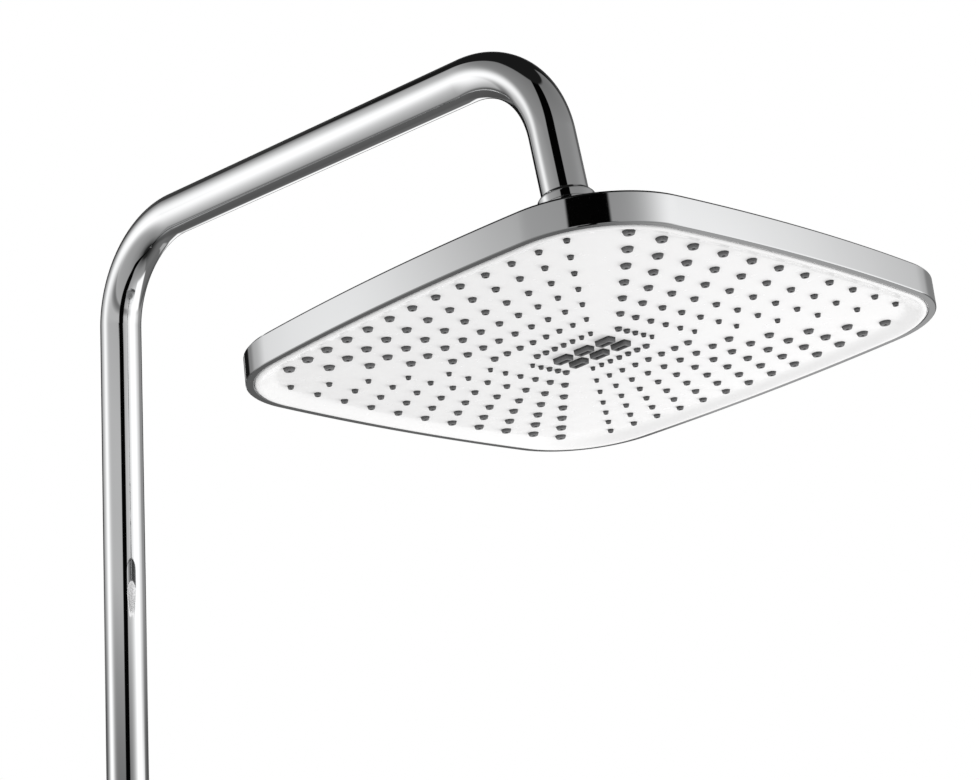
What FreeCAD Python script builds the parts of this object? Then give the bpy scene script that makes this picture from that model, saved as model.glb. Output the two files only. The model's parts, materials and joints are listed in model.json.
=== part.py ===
import FreeCAD, Part
import math
import os
from types import SimpleNamespace

import Sketcher

# Overhead shower: a threaded foot union, a swan-neck pipe, a ball joint and a square rain head.
# Millimetres and degrees. The origin is on the riser's axis at the seat above the inlet thread.
# +Z is up and the arm runs towards -Y. Foot pieces are drawn about the riser's axis, the connector's pieces
# about the drop's axis and the head's pieces about the head's axis, the last two from the ball's centre.

PIPE_SIZES = {
    "pipe_radius": 11.0,
    "pipe_wall": 1.1,
    "solder_gap": 0.05,
    "face_gap": 0.05,
    "running_gap": 0.1,
    "cut_overrun": 2.0,
    "riser_corner_height": 355.0,
    "riser_bend_radius": 52.0,
    "drop_bend_radius": 53.0,
    "arm_pitch": 1.6,
    "drop_tilt": 11.0,
    "head_tilt": 5.0,
    "ball_reach": 338.6,
    "drop_straight": 36.66,
}

FOOT_SIZES = {
    "inlet_thread_radius": 10.478,
    "inlet_thread_length": 14.0,
    "thread_chamfer": 1.2,
    "inlet_bore": 7.0,
    "seat_flange_radius": 15.5,
    "seat_flange_height": 2.5,
    "hexagon_across": 27.0,
    "hexagon_height": 10.0,
    "cup_radius": 14.6,
    "cup_height": 23.5,
    "socket_floor": 9.0,
    "collar_recess": 4.2,
    "journal_radius": 9.8,
    "journal_end_gap": 1.0,
    "collar_radius": 13.0,
    "collar_height": 3.0,
    "slip_thickness": 1.0,
    "thrust_height": 2.0,
    "thrust_gap": 0.25,
    "nut_radius": 17.5,
    "nut_lip": 4.0,
    "nut_chamfer": 1.2,
    "nut_over_hexagon": 1.0,
    "thread_gap": 0.1,
    "pipe_above_nut": 2.0,
    "spigot_bore": 6.3,
    "spigot_insert": 16.0,
    "seal_section": 1.15,
    "seal_groove_width": 2.8,
    "seal_groove_clearance": 0.05,
    "lower_seal_height": 14.4,
    "upper_seal_height": 27.6,
    "stop_height": 21.0,
    "stop_radius": 1.6,
    "stop_tip": 8.2,
    "stop_groove_floor": 7.9,
    "stop_gap": 0.2,
    "stop_socket_radius": 0.9,
    "stop_socket_depth": 2.5,
    "stop_recess": 0.2,
    "swivel_half_turn": 90.0,
}

BALL_SIZES = {
    "ball_radius": 11.5,
    "ball_bore": 3.5,
    "neck_radius": 6.0,
    "collar_foot_rise": 17.0,
    "grip_radius": 14.8,
    "grip_top_rise": 28.5,
    "collar_ring_radius": 13.6,
    "collar_top_rise": 34.3,
    "collar_chamfer": 0.7,
    "collar_shoulder": 2.0,
    "pipe_end_rise": 29.5,
    "connector_thread_radius": 10.4,
    "washer_seat_rise": 22.4,
    "washer_thickness": 2.0,
    "washer_bore": 6.1,
    "washer_gap": 0.1,
    "regulator_radius": 5.4,
    "regulator_height": 3.4,
    "regulator_hole": 0.9,
    "regulator_hole_circle": 3.3,
    "screen_thickness": 0.8,
    "screen_hole": 0.7,
    "screen_hole_circle": 4.0,
    "nipple_bore": 7.5,
    "nipple_insert": 16.0,
    "liner_thickness": 1.2,
    "liner_gap": 0.15,
    "upper_liner_top": 57.0,
    "upper_liner_foot": 80.0,
    "lower_liner_top": 99.0,
    "lower_liner_foot": 121.0,
    "mouth_angle": 54.5,
    "ball_seal_ring": 8.9,
    "ball_seal_section": 1.05,
    "ball_seal_clearance": 0.1,
    "seal_pocket_radius": 10.4,
    "retaining_radius": 18.0,
    "retaining_top": 8.2,
    "retaining_foot": 9.4,
    "retaining_bevel": 2.5,
    "retaining_mouth": 11.6,
    "hub_thread_radius": 15.1,
    "hub_seat_gap": 0.3,
    "hub_waist_radius": 17.5,
    "hub_flange_radius": 20.0,
    "hub_flange_height": 2.5,
    "hub_bore": 6.2,
    "hub_stem_radius": 9.0,
    "hub_stem_length": 8.0,
    "hub_seal_ring": 13.5,
    "hub_seal_section": 0.95,
    "lock_nut_across": 24.0,
    "lock_nut_height": 4.0,
}

HEAD_SIZES = {
    "ball_over_rim": 41.4,
    "head_half": 126.2,
    "side_bow_radius": 938.0,
    "corner_radius": 49.0,
    "band_height": 13.8,
    "band_wall": 2.4,
    "lip_width": 4.0,
    "lip_height": 2.0,
    "rim_bevel": 0.7,
    "fit_gap": 0.2,
    "layer_gap": 0.1,
    "cover_wall": 2.4,
    "dome_rise": 6.6,
    "dome_margin": 23.2,
    "dome_lap": 1.0,
    "hub_seat_radius": 22.0,
    "gasket_inset": 4.0,
    "gasket_width": 2.5,
    "clamp_thickness": 2.5,
    "clamp_bore": 16.0,
    "window_start": 30.0,
    "window_end_margin": 28.2,
    "window_start_half_width": 5.0,
    "window_end_half_width": 20.0,
    "side_screw_margin": 16.2,
    "corner_screw_margin": 30.2,
    "boss_radius": 4.0,
    "screw_radius": 1.5,
    "screw_head_radius": 2.8,
    "screw_head_height": 1.4,
    "screw_engagement": 2.6,
    "screw_gap": 0.1,
    "flange_thickness": 3.0,
    "face_edge_rise": 0.3,
    "crown_centre_rise": 0.35,
    "crown_radius": 3500.0,
    "bead_start": 2.0,
    "bead_run": 7.0,
    "bead_rise": 3.6,
    "mat_thickness": 1.5,
    "mat_inset": 4.0,
    "nozzle_height": 1.5,
    "nozzle_gap": 0.15,
    "nozzle_bore": 0.6,
    "side_row_start": 18.0,
    "side_row_margin": 17.72,
    "side_row_half": 16.4,
    "side_row_end_margin": 41.124,
    "side_row_shrink": 0.069,
    "front_row_start": 26.4,
    "front_row_margin": 17.6,
    "front_row_half": 10.87,
    "front_row_end_margin": 39.226,
    "front_row_shrink": 0.106,
    "row_bow": 0.14,
    "nozzle_large": 3.6,
    "nozzle_large_step": 0.37,
    "nozzle_small": 2.4,
    "nozzle_small_step": 0.14,
    "jet_length": 8.7,
    "jet_width": 4.8,
    "jet_pitch_along": 12.9,
    "jet_pitch_across": 10.1,
    "jet_height": 2.4,
    "jet_slot_length": 5.9,
    "jet_slot_width": 2.0,
    "jet_base_margin": 3.0,
    "jet_gap": 0.15,
}

FULL_TURN = 360
QUARTERS = 4
NOZZLE_ROWS = 7
SIDE_FIRST_COUNT = 7
FRONT_FIRST_COUNT = 5
JETS_ACROSS = 2
JETS_ALONG = 3
WINDOW_COUNT = 12
SCREEN_HOLES = 8
REGULATOR_HOLES = 6
NOZZLE_TIP_SHARE = 0.74
X_AXIS = FreeCAD.Vector(1, 0, 0)
Y_AXIS = FreeCAD.Vector(0, 1, 0)
Z_AXIS = FreeCAD.Vector(0, 0, 1)


class Size:
    """A driving dimension, or a formula of several: its number and the sheet formula that gives it."""

    def __init__(self, number, formula):
        self.number = number
        self.formula = formula

    def __add__(self, other):
        return Size(self.number + other.number, f"({self.formula} + {other.formula})")

    def __sub__(self, other):
        return Size(self.number - other.number, f"({self.formula} - {other.formula})")

    def __neg__(self):
        return Size(-self.number, f"(-{self.formula})")

    def __mul__(self, factor):
        return Size(self.number * factor, f"({self.formula} * {factor})")

    def __truediv__(self, divisor):
        return Size(self.number / divisor, f"({self.formula} / {divisor})")

    def times(self, other):
        return Size(self.number * other.number, f"({self.formula} * {other.formula})")


NONE = Size(0, "0")
RIGHT_ANGLE = Size(FULL_TURN / QUARTERS, str(FULL_TURN / QUARTERS))


def sine(angle):
    return Size(math.sin(math.radians(angle.number)), f"sin({angle.formula})")


def cosine(angle):
    return Size(math.cos(math.radians(angle.number)), f"cos({angle.formula})")


def tangent(angle):
    return Size(math.tan(math.radians(angle.number)), f"tan({angle.formula})")


def leg(long_side, other):
    """The third side of a right triangle, such as a height on a ball from its radius."""
    number = math.sqrt(long_side.number ** 2 - other.number ** 2)
    return Size(number, f"sqrt({long_side.formula} ^ 2 - {other.formula} ^ 2)")


def on_ball(radius, angle):
    """Profile corner on a sphere about the ball's centre, at an angle from the axis."""
    return radius.times(sine(angle)), radius.times(cosine(angle))


ARC = "arc about a point on the axis"


def write_sheet(doc):
    """Puts every driving dimension into the sheet and gives them back as sizes."""
    sheet = doc.addObject("Spreadsheet::Sheet", "Sizes")
    table = {**PIPE_SIZES, **FOOT_SIZES, **BALL_SIZES, **HEAD_SIZES}
    for row, (name, value) in enumerate(table.items(), 1):
        sheet.set(f"A{row}", name)
        sheet.set(f"B{row}", str(value))
        sheet.setAlias(f"B{row}", name)
    doc.recompute()
    return SimpleNamespace(**{name: Size(float(sheet.get(name)), f"Sizes.{name}") for name in table})


doc = FreeCAD.newDocument("ShowerSystem")
s = write_sheet(doc)
nodes = []


# Levels that several pieces share

pipe_bore = s.pipe_radius - s.pipe_wall
cup_foot = s.seat_flange_height + s.hexagon_height
cup_top = cup_foot + s.cup_height
slip_foot = cup_top - s.collar_recess
collar_foot = slip_foot + s.slip_thickness + s.face_gap
collar_top = collar_foot + s.collar_height
thrust_foot = collar_top + s.face_gap
nut_lip_foot = thrust_foot + s.thrust_height + s.face_gap
nut_top = nut_lip_foot + s.nut_lip
pipe_foot = nut_top + s.pipe_above_nut
recess_radius = s.collar_radius + s.thrust_gap
shaft_clear = s.pipe_radius + s.thrust_gap
socket_bore = s.journal_radius + s.running_gap

drop_bend_run = s.drop_bend_radius.times(tangent((RIGHT_ANGLE + s.arm_pitch - s.drop_tilt) / 2))
drop_length = drop_bend_run + s.drop_straight + s.pipe_end_rise
arm_length = s.ball_reach - drop_length.times(sine(s.drop_tilt))
arm_end_height = s.riser_corner_height + arm_length.times(tangent(s.arm_pitch))
ball_height = arm_end_height - drop_length.times(cosine(s.drop_tilt))

washer_top = s.washer_seat_rise + s.washer_thickness
nipple_foot = washer_top + s.face_gap
liner_inner = s.ball_radius + s.liner_gap
liner_outer = liner_inner + s.liner_thickness
socket_radius = liner_outer + s.liner_gap

rim_foot = -s.ball_over_rim
lip_top = rim_foot + s.lip_height
cover_top = rim_foot + s.band_height
cover_foot = cover_top - s.cover_wall
hub_seat = cover_top + s.dome_rise
flange_foot = lip_top + s.layer_gap
plate_back = flange_foot + s.flange_thickness
mat_foot = plate_back + s.layer_gap
mat_top = mat_foot + s.mat_thickness
clamp_foot = mat_top + s.layer_gap
clamp_top = clamp_foot + s.clamp_thickness
gasket_foot = clamp_top + s.face_gap
inner_inset = s.band_wall + s.fit_gap
dome_radius = s.head_half - s.dome_margin
window_end = s.head_half - s.window_end_margin
side_screw_reach = s.head_half - s.side_screw_margin
corner_screw_reach = s.head_half - s.corner_screw_margin


# Placing and drawing

def bind(thing, prop, size):
    thing.setExpression(prop, size.formula)


def register(thing, label):
    thing.Label = label
    nodes.append(thing)
    return thing


def place(thing, lean):
    """Sets a piece, drawn about the ball's centre, at the ball with its axis leaning back by an angle."""
    base = FreeCAD.Vector(0, -s.ball_reach.number, ball_height.number)
    thing.Placement = FreeCAD.Placement(base, FreeCAD.Rotation(X_AXIS, -lean.number))
    bind(thing, "Placement.Base.y", -s.ball_reach)
    bind(thing, "Placement.Base.z", ball_height)
    bind(thing, "Placement.Rotation.Angle", -lean)
    return thing


def on_drop(thing):
    return place(thing, s.drop_tilt)


def on_head(thing):
    return place(thing, s.head_tilt)


def new_body(label):
    return register(doc.addObject("PartDesign::Body", label), label)


def origin_feature(body, role):
    return next(item for item in body.Origin.OriginFeatures if item.Role == role)


def new_sketch(body, role, name, lift=NONE):
    """A sketch on one of the body's own planes, lifted along the plane's normal."""
    sketch = body.newObject("Sketcher::SketchObject", name)
    sketch.AttachmentSupport = (origin_feature(body, role), [""])
    sketch.MapMode = "FlatFace"
    sketch.AttachmentOffset = FreeCAD.Placement(FreeCAD.Vector(0, 0, lift.number), FreeCAD.Rotation())
    bind(sketch, "AttachmentOffset.Base.z", lift)
    return sketch


def fix_point(sketch, index, spot, across, along):
    """Holds a point of a sketch at its two distances from the sketch's origin; None leaves one free."""
    for size, kind, axis in ((across, "DistanceX", -2), (along, "DistanceY", -1)):
        if size is None:
            continue
        if size.number == 0:
            sketch.addConstraint(Sketcher.Constraint("PointOnObject", index, spot, axis))
            continue
        number = sketch.addConstraint(Sketcher.Constraint(kind, -1, 1, index, spot, size.number))
        bind(sketch, f"Constraints[{number}]", size)


def fix_radius(sketch, index, size):
    number = sketch.addConstraint(Sketcher.Constraint("Radius", index, size.number))
    bind(sketch, f"Constraints[{number}]", size)


def draw_circle(sketch, across, along, radius):
    centre = FreeCAD.Vector(across.number, along.number, 0)
    index = sketch.addGeometry(Part.Circle(centre, Z_AXIS, radius.number), False)
    fix_point(sketch, index, 3, across, along)
    fix_radius(sketch, index, radius)


def arc_about_axis(start, end):
    """The arc between two points about a point on the axis, and whether it runs with the clock."""
    squares = [point.x ** 2 + point.y ** 2 for point in (start, end)]
    height = (squares[0] - squares[1]) / (2 * (start.y - end.y))
    centre = FreeCAD.Vector(0, height, 0)
    turns = [math.atan2(point.y - height, point.x) for point in (start, end)]
    circle = Part.Circle(centre, Z_AXIS, start.distanceToPoint(centre))
    return Part.ArcOfCircle(circle, min(turns), max(turns)), turns[0] > turns[1]


def draw_profile(sketch, outline):
    """Draws a closed profile of (across, along) corners, with an arc where ARC stands between two."""
    corners = [item for item in outline if item is not ARC]
    points = [FreeCAD.Vector(across.number, along.number, 0) for across, along in corners]
    followers = outline[1:] + outline[:1]
    rounded = [following is ARC for item, following in zip(outline, followers) if item is not ARC]
    ends = []
    for index, start in enumerate(points):
        end = points[(index + 1) % len(points)]
        if rounded[index]:
            arc, with_clock = arc_about_axis(start, end)
            geometry = sketch.addGeometry(arc, False)
            sketch.addConstraint(Sketcher.Constraint("PointOnObject", geometry, 3, -2))
            ends.append((geometry, 2, 1) if with_clock else (geometry, 1, 2))
        else:
            ends.append((sketch.addGeometry(Part.LineSegment(start, end), False), 1, 2))
    for (geometry, first, last), following, corner in zip(ends, ends[1:] + ends[:1], corners):
        sketch.addConstraint(Sketcher.Constraint("Coincident", geometry, last, following[0], following[1]))
        fix_point(sketch, geometry, first, *corner)


def rectangle(left, foot, right, top):
    return [(left, foot), (right, foot), (right, top), (left, top)]


def turn(body, name, outline, kind="PartDesign::Revolution"):
    """Turns a profile of (radius, height) corners about the body's Z axis, to add or to cut."""
    sketch = new_sketch(body, "XZ_Plane", name + "_profile")
    draw_profile(sketch, outline)
    feature = body.newObject(kind, name)
    feature.Profile = sketch
    feature.ReferenceAxis = (sketch, ["V_Axis"])
    feature.Angle = FULL_TURN
    return feature


def turned(label, outline):
    body = new_body(label)
    turn(body, "turned", outline)
    return body


def seal_ring(label, ring_radius, height, section):
    """A round-section seal about the Z axis."""
    body = new_body(label)
    sketch = new_sketch(body, "XZ_Plane", "section")
    draw_circle(sketch, ring_radius, height, section)
    feature = body.newObject("PartDesign::Revolution", "ring")
    feature.Profile = sketch
    feature.ReferenceAxis = (sketch, ["V_Axis"])
    feature.Angle = FULL_TURN
    return body


def pad(body, sketch, name, height, down=False):
    feature = body.newObject("PartDesign::Pad", name)
    feature.Profile = sketch
    feature.Length = height.number
    feature.Reversed = down
    bind(feature, "Length", height)
    return feature


def pocket(body, sketch, name, depth, up=False):
    """Cuts a sketch away to a depth and checks that something was cut."""
    doc.recompute()
    before = body.Shape.Volume
    feature = body.newObject("PartDesign::Pocket", name)
    feature.Profile = sketch
    feature.Length = depth.number
    feature.Reversed = up
    bind(feature, "Length", depth)
    doc.recompute()
    if not body.Shape.Volume < before:
        raise ValueError(f"{body.Label}: {name} cuts nothing")
    return feature


def repeat_round(body, feature, name, count):
    """Repeats a feature evenly round the body's Z axis."""
    pattern = body.newObject("PartDesign::PolarPattern", name)
    pattern.Originals = [feature]
    pattern.Axis = (origin_feature(body, "Z_Axis"), [""])
    pattern.Angle = FULL_TURN
    pattern.Occurrences = count
    body.Tip = pattern
    doc.recompute()
    return pattern


def draw_hexagon(sketch, across_flats):
    """A hexagon about the sketch's origin, with flats square to its second axis."""
    half = across_flats / 2
    corner = across_flats / math.sqrt(3)
    shoulder = corner / 2
    draw_profile(sketch, [
        (corner, NONE), (shoulder, half), (-shoulder, half),
        (-corner, NONE), (-shoulder, -half), (shoulder, -half)])


def quarter_turn(number):
    """Exact cosine and sine of a number of quarter turns."""
    angle = number * math.pi / 2
    return round(math.cos(angle)), round(math.sin(angle))


# The head's outline: four bowed sides and four rounded corners, inset by any amount

def outline_arcs(inset):
    """Centre, radius and end angles of the eight arcs, counter-clockwise from the +X side."""
    setback = s.side_bow_radius.number - s.head_half.number
    span = s.side_bow_radius.number - s.corner_radius.number
    corner = (math.sqrt(2 * span ** 2 - setback ** 2) - setback) / 2
    lean = math.atan2(corner, corner + setback)
    arcs = []
    for quarter in range(QUARTERS):
        angle = quarter * math.pi / 2
        cos, sin = quarter_turn(quarter)
        side = FreeCAD.Vector(-setback * cos, -setback * sin, 0)
        arcs.append((side, s.side_bow_radius.number - inset, angle - lean, angle + lean))
        centre = FreeCAD.Vector(corner * (cos - sin), corner * (sin + cos), 0)
        arcs.append((centre, s.corner_radius.number - inset, angle + lean, angle + math.pi / 2 - lean))
    return arcs


def draw_outline(sketch, inset):
    """The head's outline as a closed chain of tangent arcs."""
    first = len(sketch.Geometry)
    arcs = [Part.ArcOfCircle(Part.Circle(centre, Z_AXIS, radius), start, end)
            for centre, radius, start, end in outline_arcs(inset.number)]
    index = sketch.addGeometry(arcs, False)
    count = len(index)
    for step in range(count):
        here, following = first + step, first + (step + 1) % count
        sketch.addConstraint(Sketcher.Constraint("Tangent", here, 2, following, 1))
        if step > 1:
            sketch.addConstraint(Sketcher.Constraint("Equal", first + step % 2, here))
    fix_radius(sketch, first, s.side_bow_radius - inset)
    fix_radius(sketch, first + 1, s.corner_radius - inset)
    setback = s.side_bow_radius - s.head_half
    fix_point(sketch, first, 3, -setback, NONE)
    fix_point(sketch, first + 2, 3, NONE, -setback)
    fix_point(sketch, first + 4, 3, setback, NONE)
    fix_point(sketch, first + 6, 3, NONE, setback)


def outline_wire(inset, height):
    """The same outline as a wire at a height, for pieces that are built from faces."""
    edges = []
    for centre, radius, start, end in outline_arcs(inset):
        angles = (start, (start + end) / 2, end)
        points = [centre + FreeCAD.Vector(radius * math.cos(angle), radius * math.sin(angle), height)
                  for angle in angles]
        edges.append(Part.Arc(*points).toShape())
    return Part.Wire(edges)


def outline_block(inset, foot, top):
    return Part.Face(outline_wire(inset, foot)).extrude(Z_AXIS * (top - foot))


# Foot union

def make_inlet_body():
    body = new_body("inlet_body")
    flat = s.hexagon_across / 2
    turn(body, "outside", [
        (NONE, -s.inlet_thread_length),
        (s.inlet_thread_radius - s.thread_chamfer, -s.inlet_thread_length),
        (s.inlet_thread_radius, s.thread_chamfer - s.inlet_thread_length),
        (s.inlet_thread_radius, NONE),
        (s.seat_flange_radius, NONE),
        (s.seat_flange_radius, s.seat_flange_height),
        (flat, s.seat_flange_height),
        (flat, cup_foot),
        (s.cup_radius, cup_foot),
        (s.cup_radius, cup_top),
        (NONE, cup_top)])
    hexagon = new_sketch(body, "XY_Plane", "hexagon", s.seat_flange_height)
    draw_hexagon(hexagon, s.hexagon_across)
    pad(body, hexagon, "spanner_hexagon", s.hexagon_height)
    turn(body, "waterway", [
        (NONE, -s.inlet_thread_length - s.cut_overrun),
        (s.inlet_bore, -s.inlet_thread_length - s.cut_overrun),
        (s.inlet_bore, s.socket_floor),
        (socket_bore, s.socket_floor),
        (socket_bore, slip_foot),
        (recess_radius, slip_foot),
        (recess_radius, cup_top + s.cut_overrun),
        (NONE, cup_top + s.cut_overrun)], "PartDesign::Groove")
    hole = new_sketch(body, "XZ_Plane", "stop_hole_circle")
    draw_circle(hole, NONE, s.stop_height, s.stop_radius + s.thread_gap)
    pocket(body, hole, "stop_hole", s.cup_radius + s.cut_overrun)


def make_union_nut():
    foot = cup_foot + s.nut_over_hexagon
    bore = s.cup_radius + s.thread_gap
    turned("union_nut", [
        (bore, foot),
        (s.nut_radius - s.nut_chamfer, foot),
        (s.nut_radius, foot + s.nut_chamfer),
        (s.nut_radius, nut_top - s.nut_chamfer),
        (s.nut_radius - s.nut_chamfer, nut_top),
        (shaft_clear, nut_top),
        (shaft_clear, nut_lip_foot),
        (bore, nut_lip_foot)])


def make_swivel_rings():
    slip_top = slip_foot + s.slip_thickness
    turned("swivel_slip_washer", rectangle(socket_bore, slip_foot, s.collar_radius, slip_top))
    thrust_top = thrust_foot + s.thrust_height
    turned("swivel_thrust_ring", rectangle(shaft_clear, thrust_foot, s.collar_radius, thrust_top))


def make_stop_screw():
    """Socket screw through the cup's back wall, with its tip in the spigot's stop groove."""
    length = s.cup_radius - s.stop_recess - s.stop_tip
    body = turned("swivel_stop_screw", [
        (NONE, NONE),
        (s.stop_radius, NONE),
        (s.stop_radius, length),
        (s.stop_socket_radius, length),
        (s.stop_socket_radius, length - s.stop_socket_depth),
        (NONE, length - s.stop_socket_depth)])
    base = FreeCAD.Vector(0, s.stop_tip.number, s.stop_height.number)
    body.Placement = FreeCAD.Placement(base, FreeCAD.Rotation(X_AXIS, -FULL_TURN / QUARTERS))
    bind(body, "Placement.Base.y", s.stop_tip)
    bind(body, "Placement.Base.z", s.stop_height)


# Swan neck

def seal_groove(height):
    """Corners of a seal groove in the spigot's journal, from its lower to its upper edge."""
    floor = socket_bore - s.seal_section * 2 - s.seal_groove_clearance * 2
    foot = height - s.seal_groove_width / 2
    top = height + s.seal_groove_width / 2
    return [(s.journal_radius, foot), (floor, foot), (floor, top), (s.journal_radius, top)]


def make_riser_spigot():
    body = new_body("riser_spigot")
    journal_foot = s.socket_floor + s.journal_end_gap
    insert_radius = pipe_bore - s.solder_gap
    insert_top = pipe_foot + s.spigot_insert
    turn(body, "outside", [
        (s.spigot_bore, journal_foot),
        (s.journal_radius, journal_foot),
        *seal_groove(s.lower_seal_height),
        *seal_groove(s.upper_seal_height),
        (s.journal_radius, collar_foot),
        (s.collar_radius, collar_foot),
        (s.collar_radius, collar_top),
        (s.pipe_radius, collar_top),
        (s.pipe_radius, pipe_foot),
        (insert_radius, pipe_foot),
        (insert_radius, insert_top),
        (s.spigot_bore, insert_top)])
    sketch = new_sketch(body, "YZ_Plane", "stop_section")
    half = s.stop_radius + s.stop_gap
    outside = s.journal_radius + s.cut_overrun
    draw_profile(sketch, rectangle(s.stop_groove_floor, s.stop_height - half, outside, s.stop_height + half))
    doc.recompute()
    before = body.Shape.Volume
    groove = body.newObject("PartDesign::Groove", "stop_groove")
    groove.Profile = sketch
    groove.ReferenceAxis = (sketch, ["V_Axis"])
    groove.Midplane = True
    pin_half_turn = math.degrees(math.asin(half.number / s.stop_tip.number))
    groove.Angle = 2 * (s.swivel_half_turn.number + pin_half_turn)
    groove.setExpression("Angle", (
        f"2 * ({s.swivel_half_turn.formula} * 1 deg + asin({half.formula} / {s.stop_tip.formula}))"))
    doc.recompute()
    if not body.Shape.Volume < before:
        raise ValueError("the stop groove cuts nothing")


def make_spigot_seals():
    rings = []
    for name, height in (("lower_seal", s.lower_seal_height), ("upper_seal", s.upper_seal_height)):
        ring = doc.addObject("Part::Torus", name)
        bind(ring, "Radius1", socket_bore - s.seal_section - s.seal_groove_clearance)
        bind(ring, "Radius2", s.seal_section)
        bind(ring, "Placement.Base.z", height)
        rings.append(ring)
    group = register(doc.addObject("Part::Compound", "spigot_o_rings"), "spigot_o_rings")
    group.Links = rings


def bend_points(corner, arriving, leaving, radius):
    """Start, middle and end of the arc that rounds a corner of the pipe's axis."""
    turn_angle = math.acos(arriving.dot(leaving))
    tangent = radius * math.tan(turn_angle / 2)
    start = corner - arriving * tangent
    end = corner + leaving * tangent
    inward = (leaving - arriving).normalize()
    middle = corner + inward * (radius / math.cos(turn_angle / 2) - radius)
    return start, middle, end


def make_gooseneck_pipe():
    """One bent tube: up the riser, forward along the arm and down the leaning drop."""
    body = new_body("gooseneck_pipe")
    path = new_sketch(body, "YZ_Plane", "pipe_axis")
    ball = FreeCAD.Vector(-s.ball_reach.number, ball_height.number, 0)
    pitch = math.radians(s.arm_pitch.number)
    lean = math.radians(s.drop_tilt.number)
    up = FreeCAD.Vector(0, 1, 0)
    forward = FreeCAD.Vector(-math.cos(pitch), math.sin(pitch), 0)
    down = FreeCAD.Vector(-math.sin(lean), -math.cos(lean), 0)
    first = FreeCAD.Vector(0, s.riser_corner_height.number, 0)
    reach = (ball - first).cross(down).z / forward.cross(down).z
    second = first + forward * reach
    foot = FreeCAD.Vector(0, pipe_foot.number, 0)
    end = ball - down * s.pipe_end_rise.number
    rise = bend_points(first, up, forward, s.riser_bend_radius.number)
    fall = bend_points(second, forward, down, s.drop_bend_radius.number)
    pieces = [
        Part.LineSegment(foot, rise[0]),
        Part.Arc(*rise),
        Part.LineSegment(rise[2], fall[0]),
        Part.Arc(*fall),
        Part.LineSegment(fall[2], end)]
    path.addGeometry(pieces, False)
    chain = []
    for index, piece in enumerate(path.Geometry):
        arc = isinstance(piece, Part.ArcOfCircle)
        chain.append((index, 1, 2))
        if arc and not piece.StartPoint.isEqual(pieces[index - 1].EndPoint, s.face_gap.number):
            chain[-1] = (index, 2, 1)
    for here, following in zip(chain, chain[1:]):
        path.addConstraint(Sketcher.Constraint("Tangent", here[0], here[2], following[0], following[1]))
    fix_point(path, 0, 1, NONE, pipe_foot)
    path.addConstraint(Sketcher.Constraint("PointOnObject", 0, 2, -2))
    fix_radius(path, 1, s.riser_bend_radius)
    fix_radius(path, 3, s.drop_bend_radius)
    guides = path.addGeometry([Part.LineSegment(rise[2], first), Part.LineSegment(end, ball)], True)
    arm_guide, drop_guide = guides
    path.addConstraint(Sketcher.Constraint("Coincident", arm_guide, 1, 2, 1))
    path.addConstraint(Sketcher.Constraint("Parallel", arm_guide, 2))
    fix_point(path, arm_guide, 2, NONE, s.riser_corner_height)
    path.addConstraint(Sketcher.Constraint("Coincident", drop_guide, 1, 4, 2))
    path.addConstraint(Sketcher.Constraint("Parallel", drop_guide, 4))
    fix_point(path, drop_guide, 2, -s.ball_reach, ball_height)
    fix_point(path, 4, 2, s.pipe_end_rise.times(sine(s.drop_tilt)) - s.ball_reach, None)
    fix_point(path, 4, 2, None, ball_height + s.pipe_end_rise.times(cosine(s.drop_tilt)))
    angle = path.addConstraint(Sketcher.Constraint("Angle", 2, math.pi - pitch))
    path.setExpression(f"Constraints[{angle}]", f"({FULL_TURN / 2} - {s.arm_pitch.formula}) * 1 deg")
    section = new_sketch(body, "XY_Plane", "pipe_section", pipe_foot)
    draw_circle(section, NONE, NONE, s.pipe_radius)
    draw_circle(section, NONE, NONE, pipe_bore)
    sweep = body.newObject("PartDesign::AdditivePipe", "bent_tube")
    sweep.Profile = section
    sweep.Spine = (path, [])


def make_drop_nipple():
    thread = s.connector_thread_radius
    insert_radius = pipe_bore - s.solder_gap
    insert_top = s.pipe_end_rise + s.nipple_insert
    on_drop(turned("drop_nipple", [
        (s.nipple_bore, nipple_foot),
        (thread, nipple_foot),
        (thread, s.pipe_end_rise),
        (insert_radius, s.pipe_end_rise),
        (insert_radius, insert_top),
        (s.nipple_bore, insert_top)]))


def make_ball_connector():
    """Collar with inside thread, neck and hollow ball in one piece."""
    thread = s.connector_thread_radius + s.thread_gap
    entry = s.pipe_radius + s.running_gap
    entry_foot = s.pipe_end_rise - s.face_gap
    pocket_radius = s.regulator_radius + s.running_gap
    pocket_foot = s.washer_seat_rise - s.regulator_height - s.face_gap
    bevel = s.collar_chamfer
    on_drop(turned("ball_connector", [
        (s.ball_bore, -leg(s.ball_radius, s.ball_bore)),
        ARC,
        (s.neck_radius, leg(s.ball_radius, s.neck_radius)),
        (s.neck_radius, s.collar_foot_rise),
        (s.grip_radius - bevel, s.collar_foot_rise),
        (s.grip_radius, s.collar_foot_rise + bevel),
        (s.grip_radius, s.grip_top_rise - bevel),
        (s.grip_radius - bevel, s.grip_top_rise),
        (s.collar_ring_radius, s.grip_top_rise),
        (s.collar_ring_radius, s.collar_top_rise - s.collar_shoulder),
        (s.collar_ring_radius - s.collar_shoulder, s.collar_top_rise),
        (entry, s.collar_top_rise),
        (entry, entry_foot),
        (thread, entry_foot),
        (thread, s.washer_seat_rise),
        (pocket_radius, s.washer_seat_rise),
        (pocket_radius, pocket_foot),
        (s.ball_bore, pocket_foot)]))


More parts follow.
